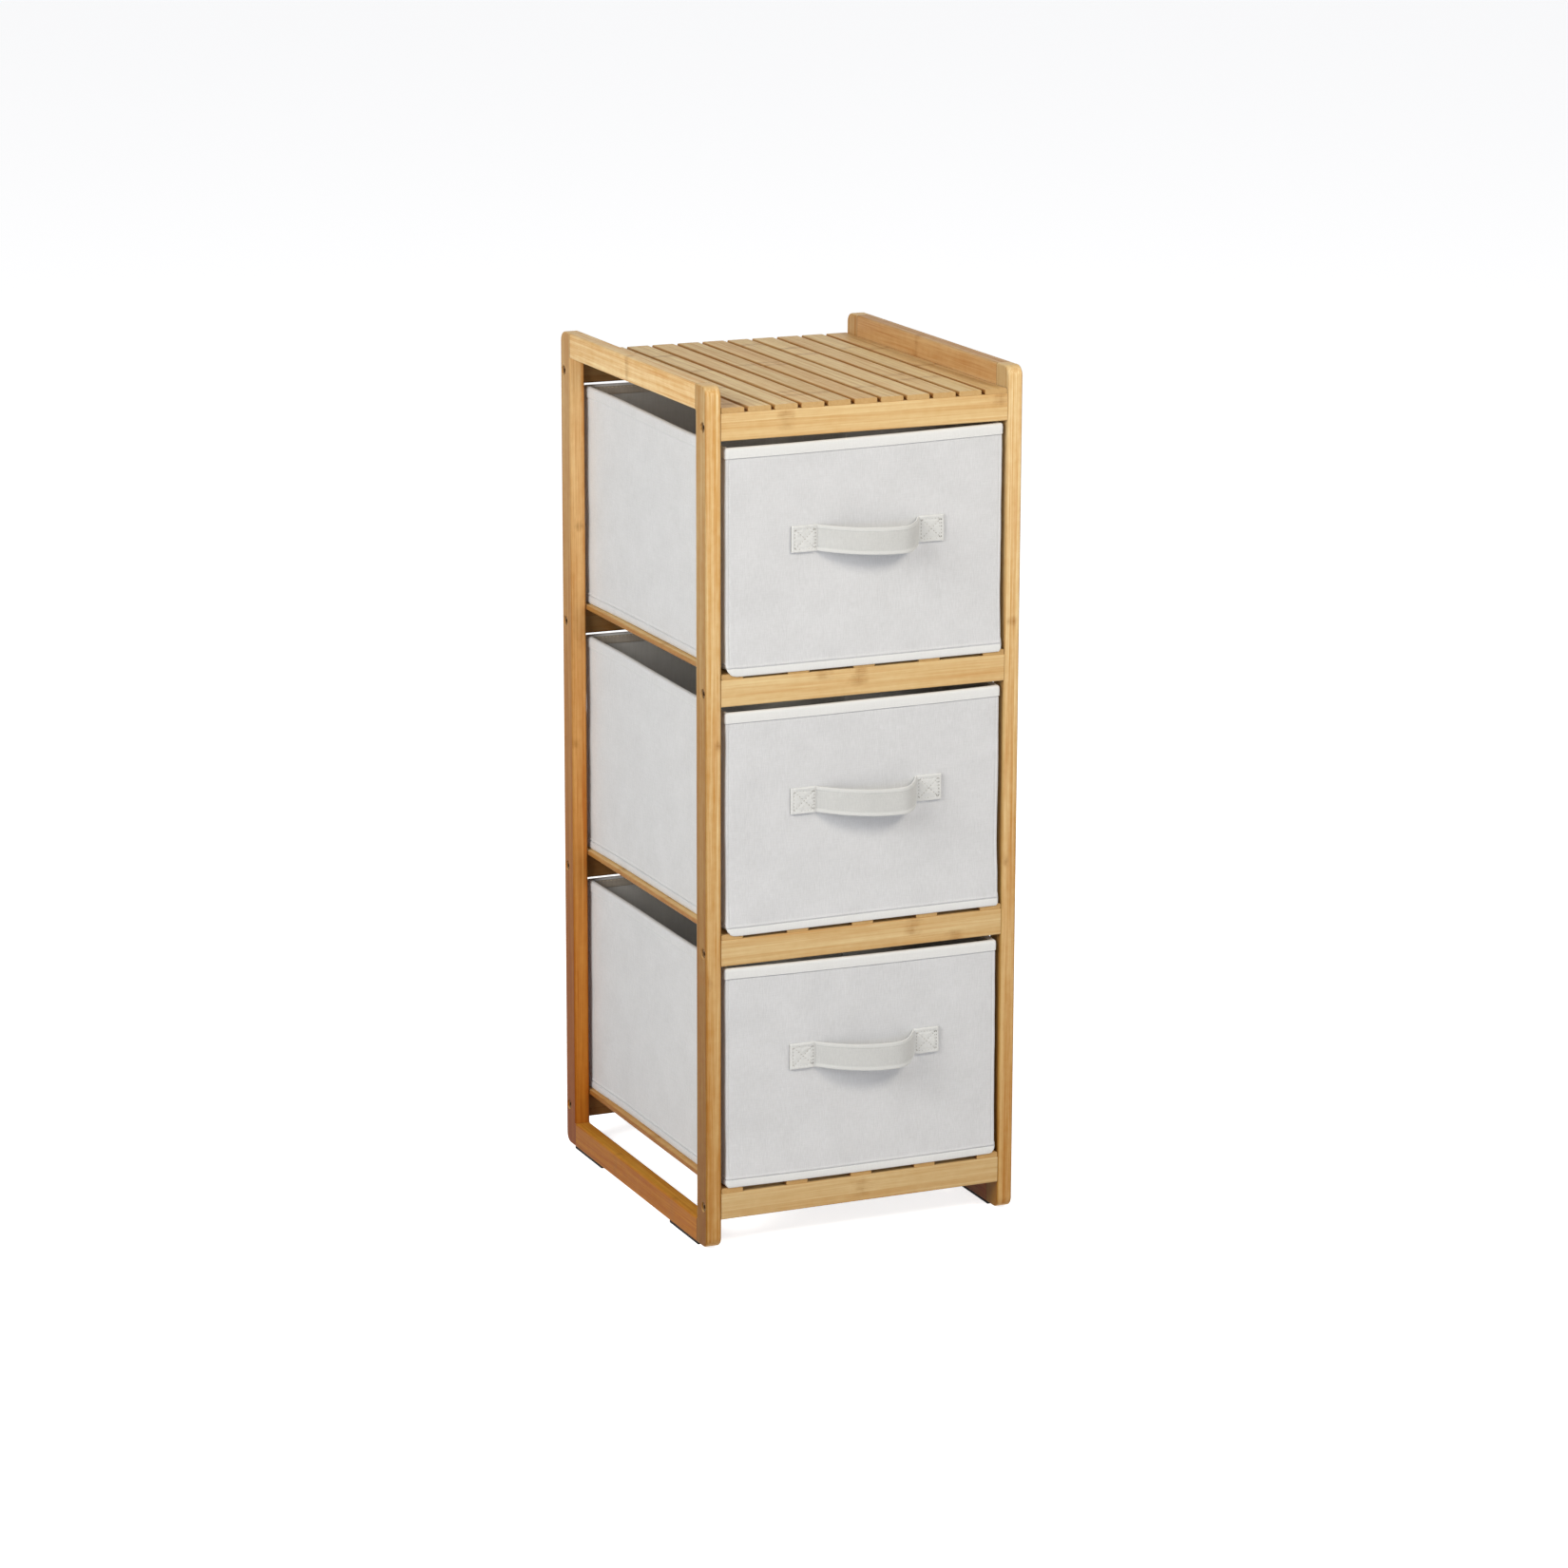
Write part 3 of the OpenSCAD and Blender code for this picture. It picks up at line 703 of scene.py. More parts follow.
def make_piece(name, mesh, materials, body, replaced=None, subdivide=0, thickness=0.0):
    """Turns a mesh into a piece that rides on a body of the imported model."""
    data = bpy.data.meshes.new(name)
    mesh.to_mesh(data)
    mesh.free()
    for material in materials:
        data.materials.append(material)
    piece = bpy.data.objects.new(name, data)
    bpy.context.scene.collection.objects.link(piece)
    if thickness:
        shell = piece.modifiers.new("Thickness", "SOLIDIFY")
        shell.thickness = thickness
        shell.offset = -1
    if subdivide:
        rounder = piece.modifiers.new("Rounding", "SUBSURF")
        rounder.levels = rounder.render_levels = subdivide
    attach(piece, body)
    if replaced:
        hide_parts(replaced)


def stand_board(mesh, place, settings, low, high):
    """Adds a stiff board with eased edges, bent with the wall that it stands in."""
    board = bmesh.new()
    bmesh.ops.create_cube(board, size=1)
    for vertex in board.verts:
        vertex.co = [a + (b - a) * (c + 0.5) for a, b, c in zip(low, high, vertex.co)]
    bmesh.ops.bevel(board, geom=board.edges[:], offset=0.4 * MM, segments=2, affect="EDGES")
    longest = [edge for edge in board.edges if edge.calc_length() > 40 * MM]
    bmesh.ops.subdivide_edges(board, edges=longest, cuts=15, use_grid_fill=True)
    for vertex in board.verts:
        vertex.co = settle(place, settings, vertex.co)
    data = bpy.data.meshes.new("one_board")
    board.to_mesh(data)
    board.free()
    mesh.from_mesh(data)
    bpy.data.meshes.remove(data)


# Operators


class SHELF_OT_make_studio(bpy.types.Operator):
    """Make the camera, the lamps and the floor"""

    bl_idname = "shelf_unit.make_studio"
    bl_label = "Make Studio"

    def execute(self, context):
        settings = context.scene.shelf_studio
        link = context.scene.collection.objects.link
        lens = bpy.data.cameras.new("photograph_camera")
        lens.lens = settings.camera_lens
        lens.sensor_width = 36
        lens.clip_end = 100
        camera = bpy.data.objects.new("photograph_camera", lens)
        camera.location = settings.camera_place
        camera.rotation_mode = "QUATERNION"
        turn = Matrix.Rotation(-settings.camera_yaw, 3, "Z")
        turn = turn @ Matrix.Rotation(math.pi / 2 - settings.camera_pitch, 3, "X")
        turn = turn @ Matrix.Rotation(settings.camera_roll, 3, "Z")
        camera.rotation_quaternion = turn.to_quaternion()
        link(camera)
        context.scene.camera = camera

        middle = (CAD_BOX[0] + CAD_BOX[1]) / 2
        for name, spot, size, power, tint in (
            ("key_softbox", (1.1, -1.9, 2.1), 0.8, settings.key_power, "#fff6e6"),
            ("fill_softbox", (-2.45, -1.15, 1.8), 1.6, settings.fill_power, "#fffdf8"),
            ("bounce_card", (-0.2, -2.8, 0.35), 1.4, settings.bounce_power, "#e2eaff"),
        ):
            lamp = bpy.data.lights.new(name, "AREA")
            lamp.shape = "DISK"
            lamp.size = size
            lamp.energy = power
            lamp.color = linear(tint)[:3]
            holder = bpy.data.objects.new(name, lamp)
            holder.location = spot
            aim = middle - Vector(spot)
            holder.rotation_euler = aim.to_track_quat("-Z", "Y").to_euler()
            link(holder)

        room = bpy.data.worlds.new("studio_room")
        tree = new_nodes(room)
        inputs = {"Color": linear("#f6f8ff"), "Strength": settings.room_light}
        soft = add(tree, "Background", inputs)[0]
        white = add(tree, "Background", {"Color": (1, 1, 1, 1), "Strength": 1.0})[0]
        mixed = add(tree, "MixShader", {0: seen_rays(tree), 1: soft, 2: white})[0]
        add(tree, "OutputWorld", {"Surface": mixed})
        context.scene.world = room

        # Painted white floor: matt, and bright enough to the camera to run into the white
        # room, while the shadow under the unit still shows on it
        floor_paint = bpy.data.materials.new("painted_white_floor")
        tree = new_nodes(floor_paint)
        inputs = {"Color": list(settings.floor_colour), "Roughness": 1.0}
        paint = add(tree, "BsdfDiffuse", inputs)[0]
        glow = add(tree, "Emission", {"Color": (1, 1, 1, 1), "Strength": 0.75})[0]
        shown = add(tree, "AddShader", {0: paint, 1: glow})[0]
        mixed = add(tree, "MixShader", {0: seen_rays(tree), 1: paint, 2: shown})[0]
        add(tree, "OutputMaterial", {"Surface": mixed})
        disc = bmesh.new()
        bmesh.ops.create_circle(disc, cap_ends=True, segments=96, radius=30)
        data = bpy.data.meshes.new("studio_floor")
        disc.to_mesh(data)
        disc.free()
        data.materials.append(floor_paint)
        floor = bpy.data.objects.new("studio_floor", data)
        # A little under the pads, so that no two faces coincide
        floor.location.z = -0.2 * MM
        link(floor)

        context.scene.view_settings.view_transform = "Standard"
        return {"FINISHED"}


# Each piece of bamboo: grain seed, how orange it is, how much painted shade darkens it where it
# stands in shadow, and its two knuckles, each with its place along the grain and its height or
# width in the piece, counted in strips
BAMBOO_LUCK = {
    "left_front_post": (1, 0.0, 0.0, 0.505, 2.6, 0.27, 0.3),
    "left_back_post": (2, 1.0, 0.07, 0.43, 0.4, 0.655, 1.6),
    "right_front_post": (3, 0.1, 0.0, 0.60, 1.4, 0.36, 0.5),
    "right_back_post": (4, 0.5, 0.0, 0.18, 1.5, 0.52, 0.5),
    "left_top_rail": (5, 0.0, 0.0, 0.02, 0.5, 0.3, 0.5),
    "left_bottom_rail": (6, 0.0, 0.0, 0.06, 0.5, -0.09, 0.6),
    "right_top_rail": (7, 1.0, 0.38, 0.03, 0.5, 0.12, 2.5),
    "right_bottom_rail": (8, 0.2, 0.2, 0.11, 0.5, -0.08, 2.5),
    "bottom_front_cross_rail": (9, 0.0, 0.0, 0.002, 1.6, 0.9, 0.5),
    "lower_front_cross_rail": (10, 0.0, 0.0, 0.053, 2.1, 0.099, 0.2),
    "upper_front_cross_rail": (11, 0.0, 0.0, -0.006, 2.0, -0.041, 3.0),
    "top_front_cross_rail": (12, 0.0, 0.0, -0.083, 1.9, 0.142, 2.6),
    "bottom_back_cross_rail": (13, 0.6, 0.75, 0.04, 1.5, -0.1, 0.6),
    "lower_back_cross_rail": (14, 0.6, 0.75, -0.07, 0.5, 0.1, 2.5),
    "upper_back_cross_rail": (15, 0.6, 0.75, 0.03, 2.5, -0.12, 0.7),
    "top_back_cross_rail": (16, 0.6, 0.75, -0.06, 1.5, 0.11, 2.4),
}


class SHELF_OT_finish_bamboo(bpy.types.Operator):
    """Give the posts, rails and slats their bamboo finish"""

    bl_idname = "shelf_unit.finish_bamboo"
    bl_label = "Finish Bamboo"

    def execute(self, context):
        settings = context.scene.shelf_bamboo
        slack = 0.3 * MM
        strips = 3
        low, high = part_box("left_front_post")
        frame_strip = (high.x - low.x + 2 * slack) / strips
        low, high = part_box("top_front_cross_rail")
        rail_strip = (high.z - low.z + 2 * slack) / strips
        low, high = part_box("top_slat_1")
        slat_layer = 2 * (high.z - low.z)
        light, dark = settings.frame_light, settings.frame_dark
        # After the fibres, each list of tones gives the painted shade of broad faces and of edges
        # (the slats' edges are shaded in their gaps), the painted shade near the floor and on broad
        # faces near the floor, and the tone of sawn ends
        tones = (light, dark, "#d0cbc4", "#ffffff", "#d7c4a9", "#ddca82", "#e6c48c")
        posts = bamboo("lacquered_bamboo_posts", 2, 0, frame_strip, tones, 1.0, settings)
        tones = (light, dark, "#fbf8f6", "#ffffff", "#e0b560", "#d5be77", "#e6c48c")
        sides = bamboo("lacquered_bamboo_side_rails", 1, 0, frame_strip, tones, 0.9, settings)
        light, dark = settings.rail_light, settings.rail_dark
        tones = (light, dark, "#f4f1ec", "#ffffff", "#eae8e6", "#ffffff", "#e6c48c")
        rails = bamboo("lacquered_bamboo_cross_rails", 0, 2, rail_strip, tones, 0.65, settings)
        light, dark = settings.slat_light, settings.slat_dark
        tones = (light, dark, "#ffffff", "#c3a685", "#f0e8dc", "#ffffff", "#c8a069")
        slats = bamboo("lacquered_bamboo_slats", 1, 2, slat_layer, tones, 0.75, settings)

        # No dark joint line shows on a piece whose seams lie this far outside it
        nowhere = 10.0
        for name, luck in BAMBOO_LUCK.items():
            low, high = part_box(name)
            seams = (-nowhere, nowhere)
            if name.endswith("_post"):
                part, start = give(name, posts), low.x
            elif name.endswith("_cross_rail"):
                part, start = give(name, rails), low.z
            else:
                part, start, seams = give(name, sides), low.x, (low.y, high.y)
            for word, value in zip(LUCK_WORDS, luck):
                part[word] = float(value)
            part["layer_start"] = start - slack
            part["seam_low"], part["seam_high"] = seams

        for count, name in enumerate(sorted(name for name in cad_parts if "slat" in name)):
            part = give(name, slats)
            part["grain_seed"] = 20.0 + count
            part["amber"] = 0.2 + 0.2 * math.sin(count * 3.7)
            part["knuckle_1"] = math.sin(count * 2.4) * 0.13
            part["knuckle_2"] = math.sin(count * 5.1 + 1) * 0.16
            part["strip_1"] = part["strip_2"] = 0.5
            part["layer_start"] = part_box(name)[0].z - slack
            part["seam_low"], part["seam_high"] = -nowhere, nowhere
        return {"FINISHED"}


class SHELF_OT_finish_fixings(bpy.types.Operator):
    """Give the bolts, inserts, dowels, pads and boards their finishes"""

    bl_idname = "shelf_unit.finish_fixings"
    bl_label = "Finish Fixings"

    def execute(self, context):
        # Bronze plating on steel: a dull brown metal that hides in its hole
        steel = plain("bronzed_steel", "#8f7350", "#5f4830", [1 * MM] * 3, 0.5, 1.0)
        give("frame_bolts", steel)
        # Turned brass: yellow metal with fine lathe lines
        lathe = [0.5 * MM, 4 * MM, 4 * MM]
        give("threaded_inserts", plain("turned_brass", "#d0b06a", "#b08d4a", lathe, 0.35, 1.0))
        # Beech dowel, bare: dull pale wood with short flecks
        flecks = [12 * MM, 1 * MM, 1 * MM]
        give("wooden_dowels", plain("bare_beech_dowel", "#d9b98c", "#b88f5e", flecks, 0.7))
        # Moulded rubber: black and matt, with a dusty grain
        rubber = plain("moulded_black_rubber", "#0d0d0d", "#050505", [1.5 * MM] * 3, 0.9)
        for side in ("left", "right"):
            for end in ("front", "back"):
                give(f"{side}_{end}_pad", rubber)
        # Pressed fibreboard: brown, matt and speckled
        board = plain("pressed_fibreboard", "#b99b6c", "#8f7448", [1.2 * MM] * 3, 0.85)
        settings = context.scene.shelf_fabric
        thick = 1.6 * MM
        for place in places(context):
            low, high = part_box(f"{place.name}_wall_boards")
            left, right = low.x + BOARD_GAP, high.x - BOARD_GAP
            front, back = low.y + BOARD_GAP, high.y - BOARD_GAP
            mesh = bmesh.new()
            for start, end in (
                ((left, front), (right, front + thick)),
                ((left, back - thick), (right, back)),
                ((left, front + 2 * thick), (left + thick, back - 2 * thick)),
                ((right - thick, front + 2 * thick), (right, back - 2 * thick)),
            ):
                stand_board(mesh, place, settings, (*start, low.z), (*end, high.z - MM))
            name = f"{place.name}_stiff_boards"
            replaced = f"{place.name}_wall_boards"
            make_piece(name, mesh, [board], place.name, replaced)
        return {"FINISHED"}


# Soft creases in the front walls: distance to the right of the middle and below the rim, angle
# in degrees, length, width and depth, in millimetres
CREASES = {
    "bottom_box": (
        (100, 56, 4, 34, 7, -0.55),
        (86, 132, -62, 26, 5, 0.6),
        (95, 140, -58, 34, 7, -0.5),
        (-9, 190, 3, 44, 6, -0.5),
        (55, 206, 5, 50, 9, 0.6),
        (-88, 62, 50, 30, 8, -0.4),
    ),
    "middle_box": (
        (-63, 53, 52, 30, 8, 0.5),
        (94, 47, -12, 34, 6, 0.55),
        (118, 70, 6, 36, 6, -0.6),
        (108, 145, -44, 44, 10, 0.7),
        (96, 128, -30, 34, 6, -0.5),
        (-30, 196, 4, 60, 9, 0.4),
    ),
    "top_box": (
        (60, 40, 20, 50, 12, 0.4),
        (104, 120, -50, 34, 9, 0.4),
        (-70, 150, 70, 50, 12, 0.35),
    ),
}


def crease_depth(place, point):
    """How deep the creases of a front wall are at a point."""
    right = (point.x - place.x) / MM
    drop = (place.foot + place.height - point.z) / MM
    depth = 0
    for x, z, degrees, half_length, width, deep in CREASES[place.name]:
        turn = math.radians(degrees)
        a, b = right - x, z - drop
        along = a * math.cos(turn) + b * math.sin(turn)
        beside = b * math.cos(turn) - a * math.sin(turn)
        depth += deep * math.exp(-((along / half_length) ** 2) - (beside / width) ** 2)
    return depth * MM


class SHELF_OT_make_box_cloth(bpy.types.Operator):
    """Make the outer cloth of each box"""

    bl_idname = "shelf_unit.make_box_cloth"
    bl_label = "Make Box Cloth"

    def execute(self, context):
        settings = context.scene.shelf_fabric
        material = fabric(context, "woven_linen_look_polyester")
        for place in places(context):
            # (inset, height over the foot) in millimetres, from under the floor to the rim. The
            # cloth dips where the tape of the foot and the binding of the rim are sewn on
            sewn = place.height / MM - 10.5
            profile = [(126, 0.75), (90, 0.75), (50, 0.75), (20, 0.75), (8, 0.75), (3.4, 0.75)]
            profile += [(2.0, 0.95), (1.15, 1.7), (0.75, 3.0), (0.75, 6.5), (0.9, 8.0)]
            profile += [(0.8, 8.5), (0.25, 9.1), (0.1, 9.8), (0.35, 10.5), (0.75, 11.2), (0.72, 13)]
            start, end, steps = 16, sewn - 3, 44
            profile += [(0.7, start + (end - start) * step / steps) for step in range(steps + 1)]
            profile += [(0.75, sewn - 1.4), (1.25, sewn - 0.6), (1.3, sewn + 0.2)]
            profile += [(0.8, sewn + 1.5), (0.75, sewn + 5.5), (0.8, sewn + 9.3)]
            rings = []
            for inset, z in profile:
                points = []
                for point, facing, wall, end_distance in ring(place, inset * MM, z * MM):
                    # The upright seams stand just inside the ends of the front and back walls
                    if wall in (0, 2) and z > 12:
                        groove = math.exp(-(((end_distance - 1.2 * MM) / (0.5 * MM)) ** 2))
                        point -= facing * groove * 0.45 * MM
                    flat = smooth(12, 40, z) * smooth(0, 20, sewn - z)
                    wave = noise.noise(point * 16 + Vector((place.number * 5, 0, 0)))
                    wave += 0.5 * noise.noise(point * 38 + Vector((place.number * 9, 4, 2)))
                    swell = wave * settings.wall_wave
                    if wall == 0:
                        swell -= crease_depth(place, point)
                    # The cloth sinks no deeper than to its board
                    point += facing * max(swell, -BOARD_GAP) * flat
                    points.append(settle(place, settings, point))
                rings.append(points)
            mesh = loft(rings, close_first=True, mirror=front_points(place))
            name = f"{place.name}_cloth"
            replaced = f"{place.name}_shell"
            make_piece(name, mesh, [material], place.name, replaced, 1, 0.9 * MM)
        return {"FINISHED"}


class SHELF_OT_make_rim_binding(bpy.types.Operator):
    """Make the folded rim of each box, with its inner hem and stitches"""

    bl_idname = "shelf_unit.make_rim_binding"
    bl_label = "Make Rim Binding"

    def execute(self, context):
        settings = context.scene.shelf_fabric
        tape, hem, side_tape, hem_thread, rim_thread = [
            fabric(context, name)
            for name in (
                "folded_binding_tape",
                "non_woven_hem",
                "woven_linen_look_polyester",
                "polyester_hem_thread",
                "bleached_rim_thread",
            )
        ]
        # (inset, drop below the rim) in millimetres round the folded tape, from low outside
        profile = [(0.6, 10.6), (0.15, 10.55), (-0.05, 10.2), (0.0, 9.7), (0.12, 9.3)]
        profile += [(0.0, 8.9), (-0.1, 5.5), (-0.05, 3.4), (0.05, 2.2), (0.5, 1.0)]
        profile += [(1.4, 0.2), (2.9, -0.05), (4.4, 0.15), (5.35, 0.9), (5.8, 2.0)]
        inner = range(len(profile) - 1, len(profile) + 6)
        profile += [(5.9, 3.0), (5.75, 3.4), (5.9, 3.9), (5.95, 7.0), (5.9, 10.2)]
        profile += [(5.6, 10.5), (5.3, 10.3), (5.3, 2.4), (4.3, 0.9), (2.9, 0.6)]
        profile += [(1.5, 0.9), (0.65, 2.4)]
        for place in places(context):
            top = place.height / MM
            front = front_places(place)

            def paint(band, at):
                """The inner hem, and the binding that is bright on the front wall alone."""
                if band in inner:
                    return 1
                return 0 if at in front else 2

            rings = settled_rings(place, settings, [(inset, top - drop) for inset, drop in profile])
            mesh = loft(rings, closed_profile=True, paint=paint)
            name = f"{place.name}_rim_binding"
            replaced = f"{place.name}_top_binding"
            cloths = [tape, hem, side_tape]
            make_piece(name, mesh, cloths, place.name, replaced, 1)
            for name, inset, drop, spacing, size, width, thread, sign in (
                ("hem_stitches", 5.85, 3.4, 4.2, 2.8, 0.55, hem_thread, -1),
                ("rim_stitches", 0.05, 9.3, 3.2, 2.3, 0.3, rim_thread, 1),
            ):
                line = ring(place, inset * MM, place.height - drop * MM)
                line.append(line[0])
                points = [settle(place, settings, spot[0]) for spot in line]
                facings = [spot[1] * sign for spot in line]
                mesh = bmesh.new()
                stitch_run(mesh, points, facings, spacing * MM, size * MM, width * MM)
                make_piece(f"{place.name}_{name}", mesh, [thread], place.name)
        return {"FINISHED"}


class SHELF_OT_make_foot_binding(bpy.types.Operator):
    """Make the tape round the foot of each box"""

    bl_idname = "shelf_unit.make_foot_binding"
    bl_label = "Make Foot Binding"

    def execute(self, context):
        settings = context.scene.shelf_fabric
        cloths = [fabric(context, "folded_binding_tape")]
        cloths.append(fabric(context, "woven_linen_look_polyester"))
        # (inset, height over the foot) in millimetres, from under the floor and back
        profile = [(7.0, 0.0), (3.0, 0.0), (1.75, 0.05), (1.4, 0.2), (0.4, 0.7), (0.0, 2.4)]
        profile += [(-0.1, 4.5), (0.0, 7.0), (0.1, 7.75), (0.4, 8.0), (0.65, 7.8), (0.65, 3.0)]
        profile += [(0.95, 1.6), (1.8, 0.8), (3.2, 0.6), (7.0, 0.6)]
        for place in places(context):
            front = front_places(place)

            def paint(band, at):
                """The tape is bright on the front wall alone."""
                return 0 if at in front else 1

            rings = settled_rings(place, settings, profile)
            mesh = loft(rings, closed_profile=True, paint=paint)
            name = f"{place.name}_foot_tape"
            replaced = f"{place.name}_foot_binding"
            make_piece(name, mesh, cloths, place.name, replaced, 1)
        return {"FINISHED"}


class SHELF_OT_make_lining(bpy.types.Operator):
    """Make the lining of each box"""

    bl_idname = "shelf_unit.make_lining"
    bl_label = "Make Lining"

    def execute(self, context):
        settings = context.scene.shelf_fabric
        material = fabric(context, "non_woven_lining")
        for place in places(context):
            # (inset, height over the foot) in millimetres, from the rim to the floor
            top = place.height / MM
            profile = [(5.2, top - 1.4), (5.2, top - 9)]
            start, end, steps = top - 12, 9, 26
            profile += [(5.2, start + (end - start) * step / steps) for step in range(steps + 1)]
            profile += [(5.3, 5), (5.9, 2.8), (7.4, 2.0)]
            profile += [(inset, 1.95) for inset in (10, 20, 50, 90, 126)]
            rings = []
            for inset, z in profile:
                points = []
                for point, facing, _, _ in ring(place, inset * MM, z * MM):
                    if z > 8:
                        free = smooth(0, 18, top - z) * smooth(8, 30, z)
                        wave = noise.noise(point * 15 + Vector((3, place.number * 6, 1)))
                        point -= facing * abs(wave) * free * 1.1 * MM
                    points.append(settle(place, settings, point))
                rings.append(points)
            mesh = loft(rings, close_last=True, mirror=front_points(place))
            bmesh.ops.reverse_faces(mesh, faces=mesh.faces)
            name = f"{place.name}_inner_lining"
            replaced = f"{place.name}_lining"
            make_piece(name, mesh, [material], place.name, replaced, 1, 0.75 * MM)
        return {"FINISHED"}


class SHELF_OT_make_base_board(bpy.types.Operator):
    """Make the loose covered board in each box"""

    bl_idname = "shelf_unit.make_base_board"
    bl_label = "Make Base Board"

    def execute(self, context):
        material = fabric(context, "non_woven_lining")
        for place in places(context):
            low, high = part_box(f"{place.name}_base_board")
            foot, top = (low.z - place.foot) / MM, (high.z - place.foot) / MM
            edge = (place.half_w - (high.x - low.x) / 2) / MM
            # (inset, height over the foot) in millimetres, with a seam near the upper edge
            profile = [(120, foot + 0.1), (60, foot), (20, foot), (edge + 3, foot)]
            profile += [(edge + 1, foot + 0.1), (edge + 0.2, foot + 0.7), (edge, (foot + top) / 2)]
            profile += [(edge + 0.2, top - 0.9), (edge + 1, top - 0.35), (edge + 3, top - 0.2)]
            profile += [(edge + 4.4, top - 0.45), (edge + 5.8, top - 0.2), (edge + 10, top - 0.05)]
            profile += [(40, top), (80, top), (120, top)]
            rings = [
                [spot[0] for spot in ring(place, inset * MM, z * MM)] for inset, z in profile
            ]
            mesh = loft(rings, close_first=True, close_last=True, mirror=front_points(place))
            name = f"{place.name}_covered_board"
            body = f"{place.name}_base"
            make_piece(name, mesh, [material], body, f"{body}_board", 1)
        return {"FINISHED"}


# The handle tape, in millimetres
TAB_LENGTH = 27
TAPE_THICKNESS = 1.5
STITCH_INSET = 3.2
INNER_STITCH_GAP = 2.4
# Where the slack of each handle lies between its left and right end, and how much it sags
SLACK = {"bottom_box": (0.72, 1.1), "middle_box": (0.76, 1.15), "top_box": (0.75, 1)}


class Tape:
    """The handle of one box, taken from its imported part: x runs along it and z across it."""

    def __init__(self, place, settings):
        low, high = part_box(f"{place.name}_handle")
        self.settings = settings
        self.middle_x, self.middle_z = (low.x + high.x) / 2, (low.z + high.z) / 2
        self.half_l, self.half_w = (high.x - low.x) / 2, (high.z - low.z) / 2
        self.free = self.half_l - TAB_LENGTH * MM
        self.thick = TAPE_THICKNESS * MM
        self.base = high.y
        self.rise = high.y - low.y - 1.8 * MM
        self.peak, sag_share = SLACK[place.name]
        self.sag = settings.sag * sag_share
        self.number = place.number
        self.inner = self.free + INNER_STITCH_GAP * MM
        self.outer = self.half_l - STITCH_INSET * MM
        self.upper = self.half_w - STITCH_INSET * MM

    def seam_distance(self, x, z):
        """Distance to the nearest line of stitches on a sewn end."""
        x = abs(x)
        cross = (x - (self.inner + self.outer) / 2) / ((self.outer - self.inner) / 2)
        up = z / self.upper
        slope = 7 * MM
        lines = [abs(x - self.inner), abs(x - self.outer), abs(z - self.upper), abs(z + self.upper)]
        lines += [abs(cross - up) * slope, abs(cross + up) * slope]
        return min(lines)

    def lie(self, x, z, out):
        """A point of the tape, out from its middle layer. The slack lies towards the right end,
        so the tape returns steeply there."""
        share = (x + self.free) / (2 * self.free)
        rising = share < self.peak
        run = self.peak if rising else self.peak - 1
        away = (self.peak - share) / run
        power = 2 if rising else 2.6
        swell = max(1 - away**power, 0)
        slope = 0
        if abs(x) < self.free:
            slope = self.rise * power * away ** (power - 1) / (2 * self.free * run)
        bow = self.rise * swell - math.tan(self.settings.lean) * swell * z
        facing = Vector((-slope, -1)).normalized() * out
        y = self.base - self.thick / 2 - bow + facing.y
        return Vector((self.middle_x + x + facing.x, y, self.middle_z + z - self.sag * swell))

    def half_thickness(self, x, z, layer):
        """Half the thickness at a point, for the front layer, 1, or the back layer, -1."""
        from_edge, from_end = self.half_w - abs(z), self.half_l - abs(x)
        folded = from_edge - self.settings.edge_fold
        end_round = 0.5 + 0.5 * smooth(0, 0.8 * MM, from_end)
        half = self.thick / 2 * (0.35 + 0.65 * smooth(0, 0.9 * MM, from_edge))
        half += 0.3 * MM * (1 - smooth(0, 0.8 * MM, folded))
        half -= 0.25 * MM * math.exp(-(((folded - 0.6 * MM) / (0.5 * MM)) ** 2))
        half *= end_round
        half += noise.noise(Vector((x * 60, z * 90, self.number * 4 + layer))) * 0.12 * MM
        if layer < 0:
            return half
        if abs(x) > self.free:
            # The sewn ends are folded double, and pucker between the stitches
            half += smooth(0, 2 * MM, abs(x) - self.free) * end_round * 1.2 * MM
            half += 0.4 * MM * smooth(0, 1.8 * MM, self.seam_distance(x, z)) - 0.25 * MM
            pucker = noise.noise(Vector((x * 330, z * 330, self.number * 3)))
            return half + pucker * 0.42 * MM * smooth(0, 1.5 * MM, from_end)
        # Soft wrinkles run slantwise over the free tape
        fold = noise.noise(Vector((x * 70 + z * 45, z * 60, self.number * 5 + 2)))
        return half + fold * 0.35 * MM * smooth(2 * MM, 7 * MM, from_edge)


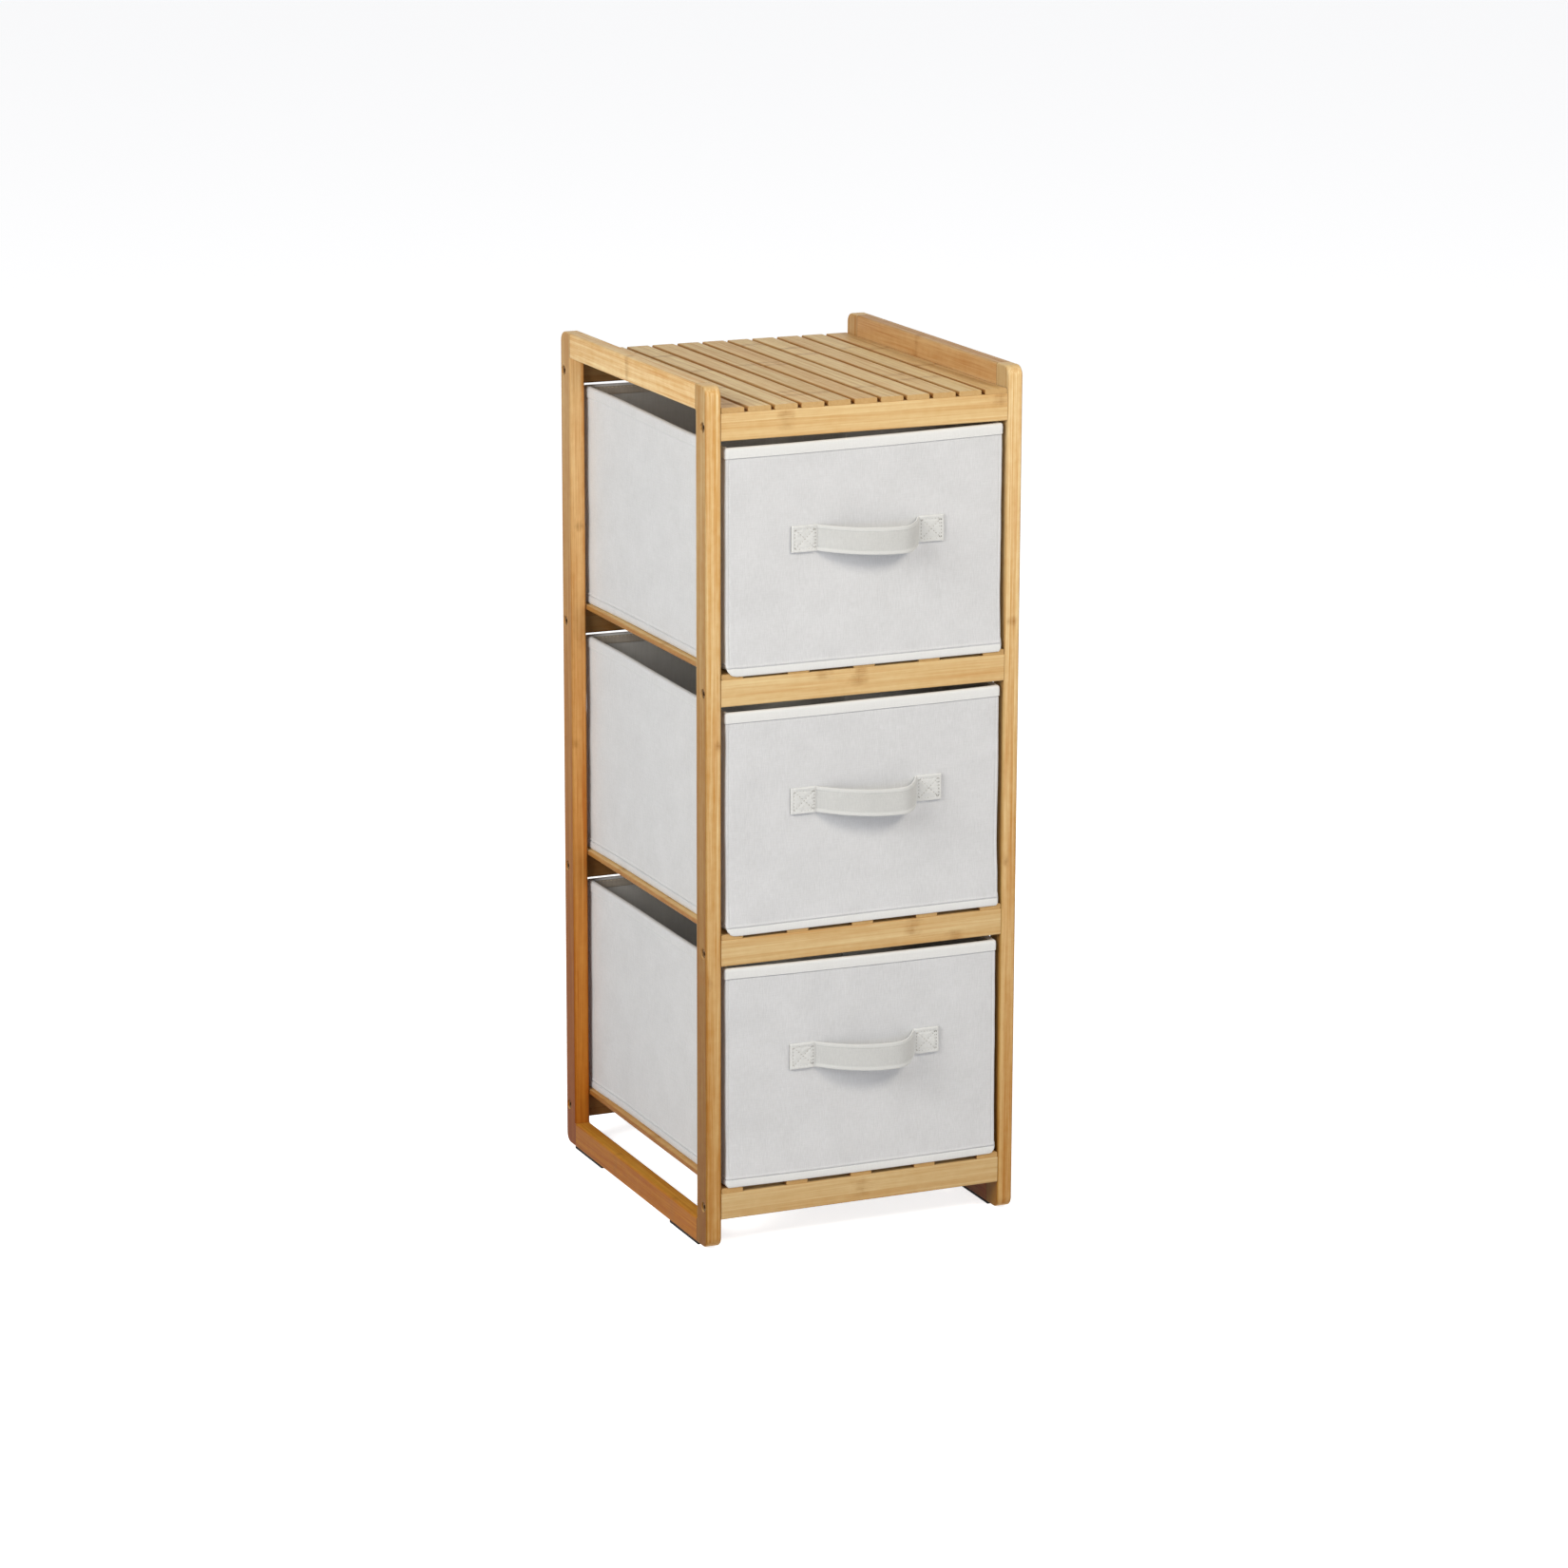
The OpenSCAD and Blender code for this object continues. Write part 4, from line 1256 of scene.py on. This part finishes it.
class SHELF_OT_make_handle(bpy.types.Operator):
    """Make the sewn tape handle of each box"""

    bl_idname = "shelf_unit.make_handle"
    bl_label = "Make Handle"

    def execute(self, context):
        settings = context.scene.shelf_handle
        names = ("twill_handle_tape", "folded_handle_edge", "cut_end_painted_shade", "sewn_handle_end")
        cloths = [fabric(context, name) for name in names]
        threads = [fabric(context, "white_sewing_thread"), fabric(context, "grey_sewing_thread")]
        along, across = 150, 30
        for place in places(context):
            tape = Tape(place, settings)
            widths = [tape.half_w * (2 * step / across - 1) for step in range(across + 1)]
            layers = [(1, z) for z in widths] + [(-1, z) for z in widths[::-1]]

            def paint(band, at):
                """The folded edges and the sewn ends of the tape are paler."""
                if tape.half_l * abs(2 * (band + 0.5) / along - 1) > tape.free:
                    return 3
                from_edge = 2 * tape.half_w * (min(at, 2 * across + 1 - at) + 0.5) / across
                edge = min(from_edge, 2 * tape.half_w - from_edge)
                return 1 if edge < settings.edge_fold else 0

            rings = []
            for step in range(along + 1):
                x = tape.half_l * (2 * step / along - 1)
                rings.append(
                    [tape.lie(x, z, side * tape.half_thickness(x, z, side)) for side, z in layers]
                )
            mesh = loft(rings, close_first=True, close_last=True, paint=paint)
            # The end faces take the dark cut-end tone, painted shade along the edges of the sewn
            # ends
            for face in mesh.faces:
                from_end = tape.half_l - abs(face.calc_center_median().x - tape.middle_x)
                if abs(face.normal.x) > 0.9 and len(face.verts) < 5 and from_end < 0.1 * MM:
                    face.material_index = 2
            name = f"{place.name}_tape_handle"
            replaced = f"{place.name}_handle"
            make_piece(name, mesh, cloths, place.name, replaced, 1)

            mesh = bmesh.new()
            inner, outer, up = tape.inner, tape.outer, tape.upper
            out = tape.thick / 2 + 0.95 * MM
            for side in (-1, 1):
                # The left end is sewn twice at its inner edge, the right end at its outer edge
                second = inner + 2 * MM if side < 0 else outer - 2 * MM
                strong = inner if side < 0 else outer
                for start, end in (
                    ((inner, up), (outer, up)),
                    ((outer, up), (outer, -up)),
                    ((outer, -up), (inner, -up)),
                    ((inner, -up), (inner, up)),
                    ((inner, up), (outer, -up)),
                    ((outer, up), (inner, -up)),
                    ((second, up), (second, -up)),
                ):
                    line = []
                    for step in range(13):
                        x, z = Vector(start).lerp(Vector(end), step / 12)
                        line.append(tape.lie(side * x, z, out))
                    grey = start[0] == end[0] and start[0] in (strong, second)
                    facings = [Vector((0, -1, 0))] * 12
                    stitch_run(mesh, line, facings, 3.3 * MM, 1.7 * MM, 0.9 * MM, int(grey))
            name = f"{place.name}_handle_stitches"
            make_piece(name, mesh, threads, place.name)
        return {"FINISHED"}


class SHELF_PT_sidebar(bpy.types.Panel):
    """Lists the settings and the makers of the shelf unit"""

    bl_idname = "SHELF_PT_sidebar"
    bl_label = "Shelf Unit"
    bl_space_type = "VIEW_3D"
    bl_region_type = "UI"
    bl_category = "Shelf Unit"

    def draw(self, context):
        for group in SETTINGS:
            settings = getattr(context.scene, group)
            box = self.layout.box()
            for name in settings.__annotations__:
                box.prop(settings, name)
        for maker in MAKERS:
            self.layout.operator(maker.bl_idname)


SETTINGS = {
    "shelf_studio": StudioSettings,
    "shelf_bamboo": BambooSettings,
    "shelf_fabric": FabricSettings,
    "shelf_handle": HandleSettings,
}
MAKERS = (
    SHELF_OT_make_studio,
    SHELF_OT_finish_bamboo,
    SHELF_OT_finish_fixings,
    SHELF_OT_make_box_cloth,
    SHELF_OT_make_rim_binding,
    SHELF_OT_make_foot_binding,
    SHELF_OT_make_lining,
    SHELF_OT_make_base_board,
    SHELF_OT_make_handle,
)


def register():
    for group in (*SETTINGS.values(), *MAKERS, SHELF_PT_sidebar):
        bpy.utils.register_class(group)
    for name, group in SETTINGS.items():
        setattr(bpy.types.Scene, name, PointerProperty(type=group))


def unregister():
    for name in SETTINGS:
        delattr(bpy.types.Scene, name)
    for group in (SHELF_PT_sidebar, *MAKERS, *SETTINGS.values()):
        bpy.utils.unregister_class(group)


def main():
    register()
    for maker in MAKERS:
        group, action = maker.bl_idname.split(".")
        getattr(getattr(bpy.ops, group), action)()


if __name__ == "__main__":
    main()
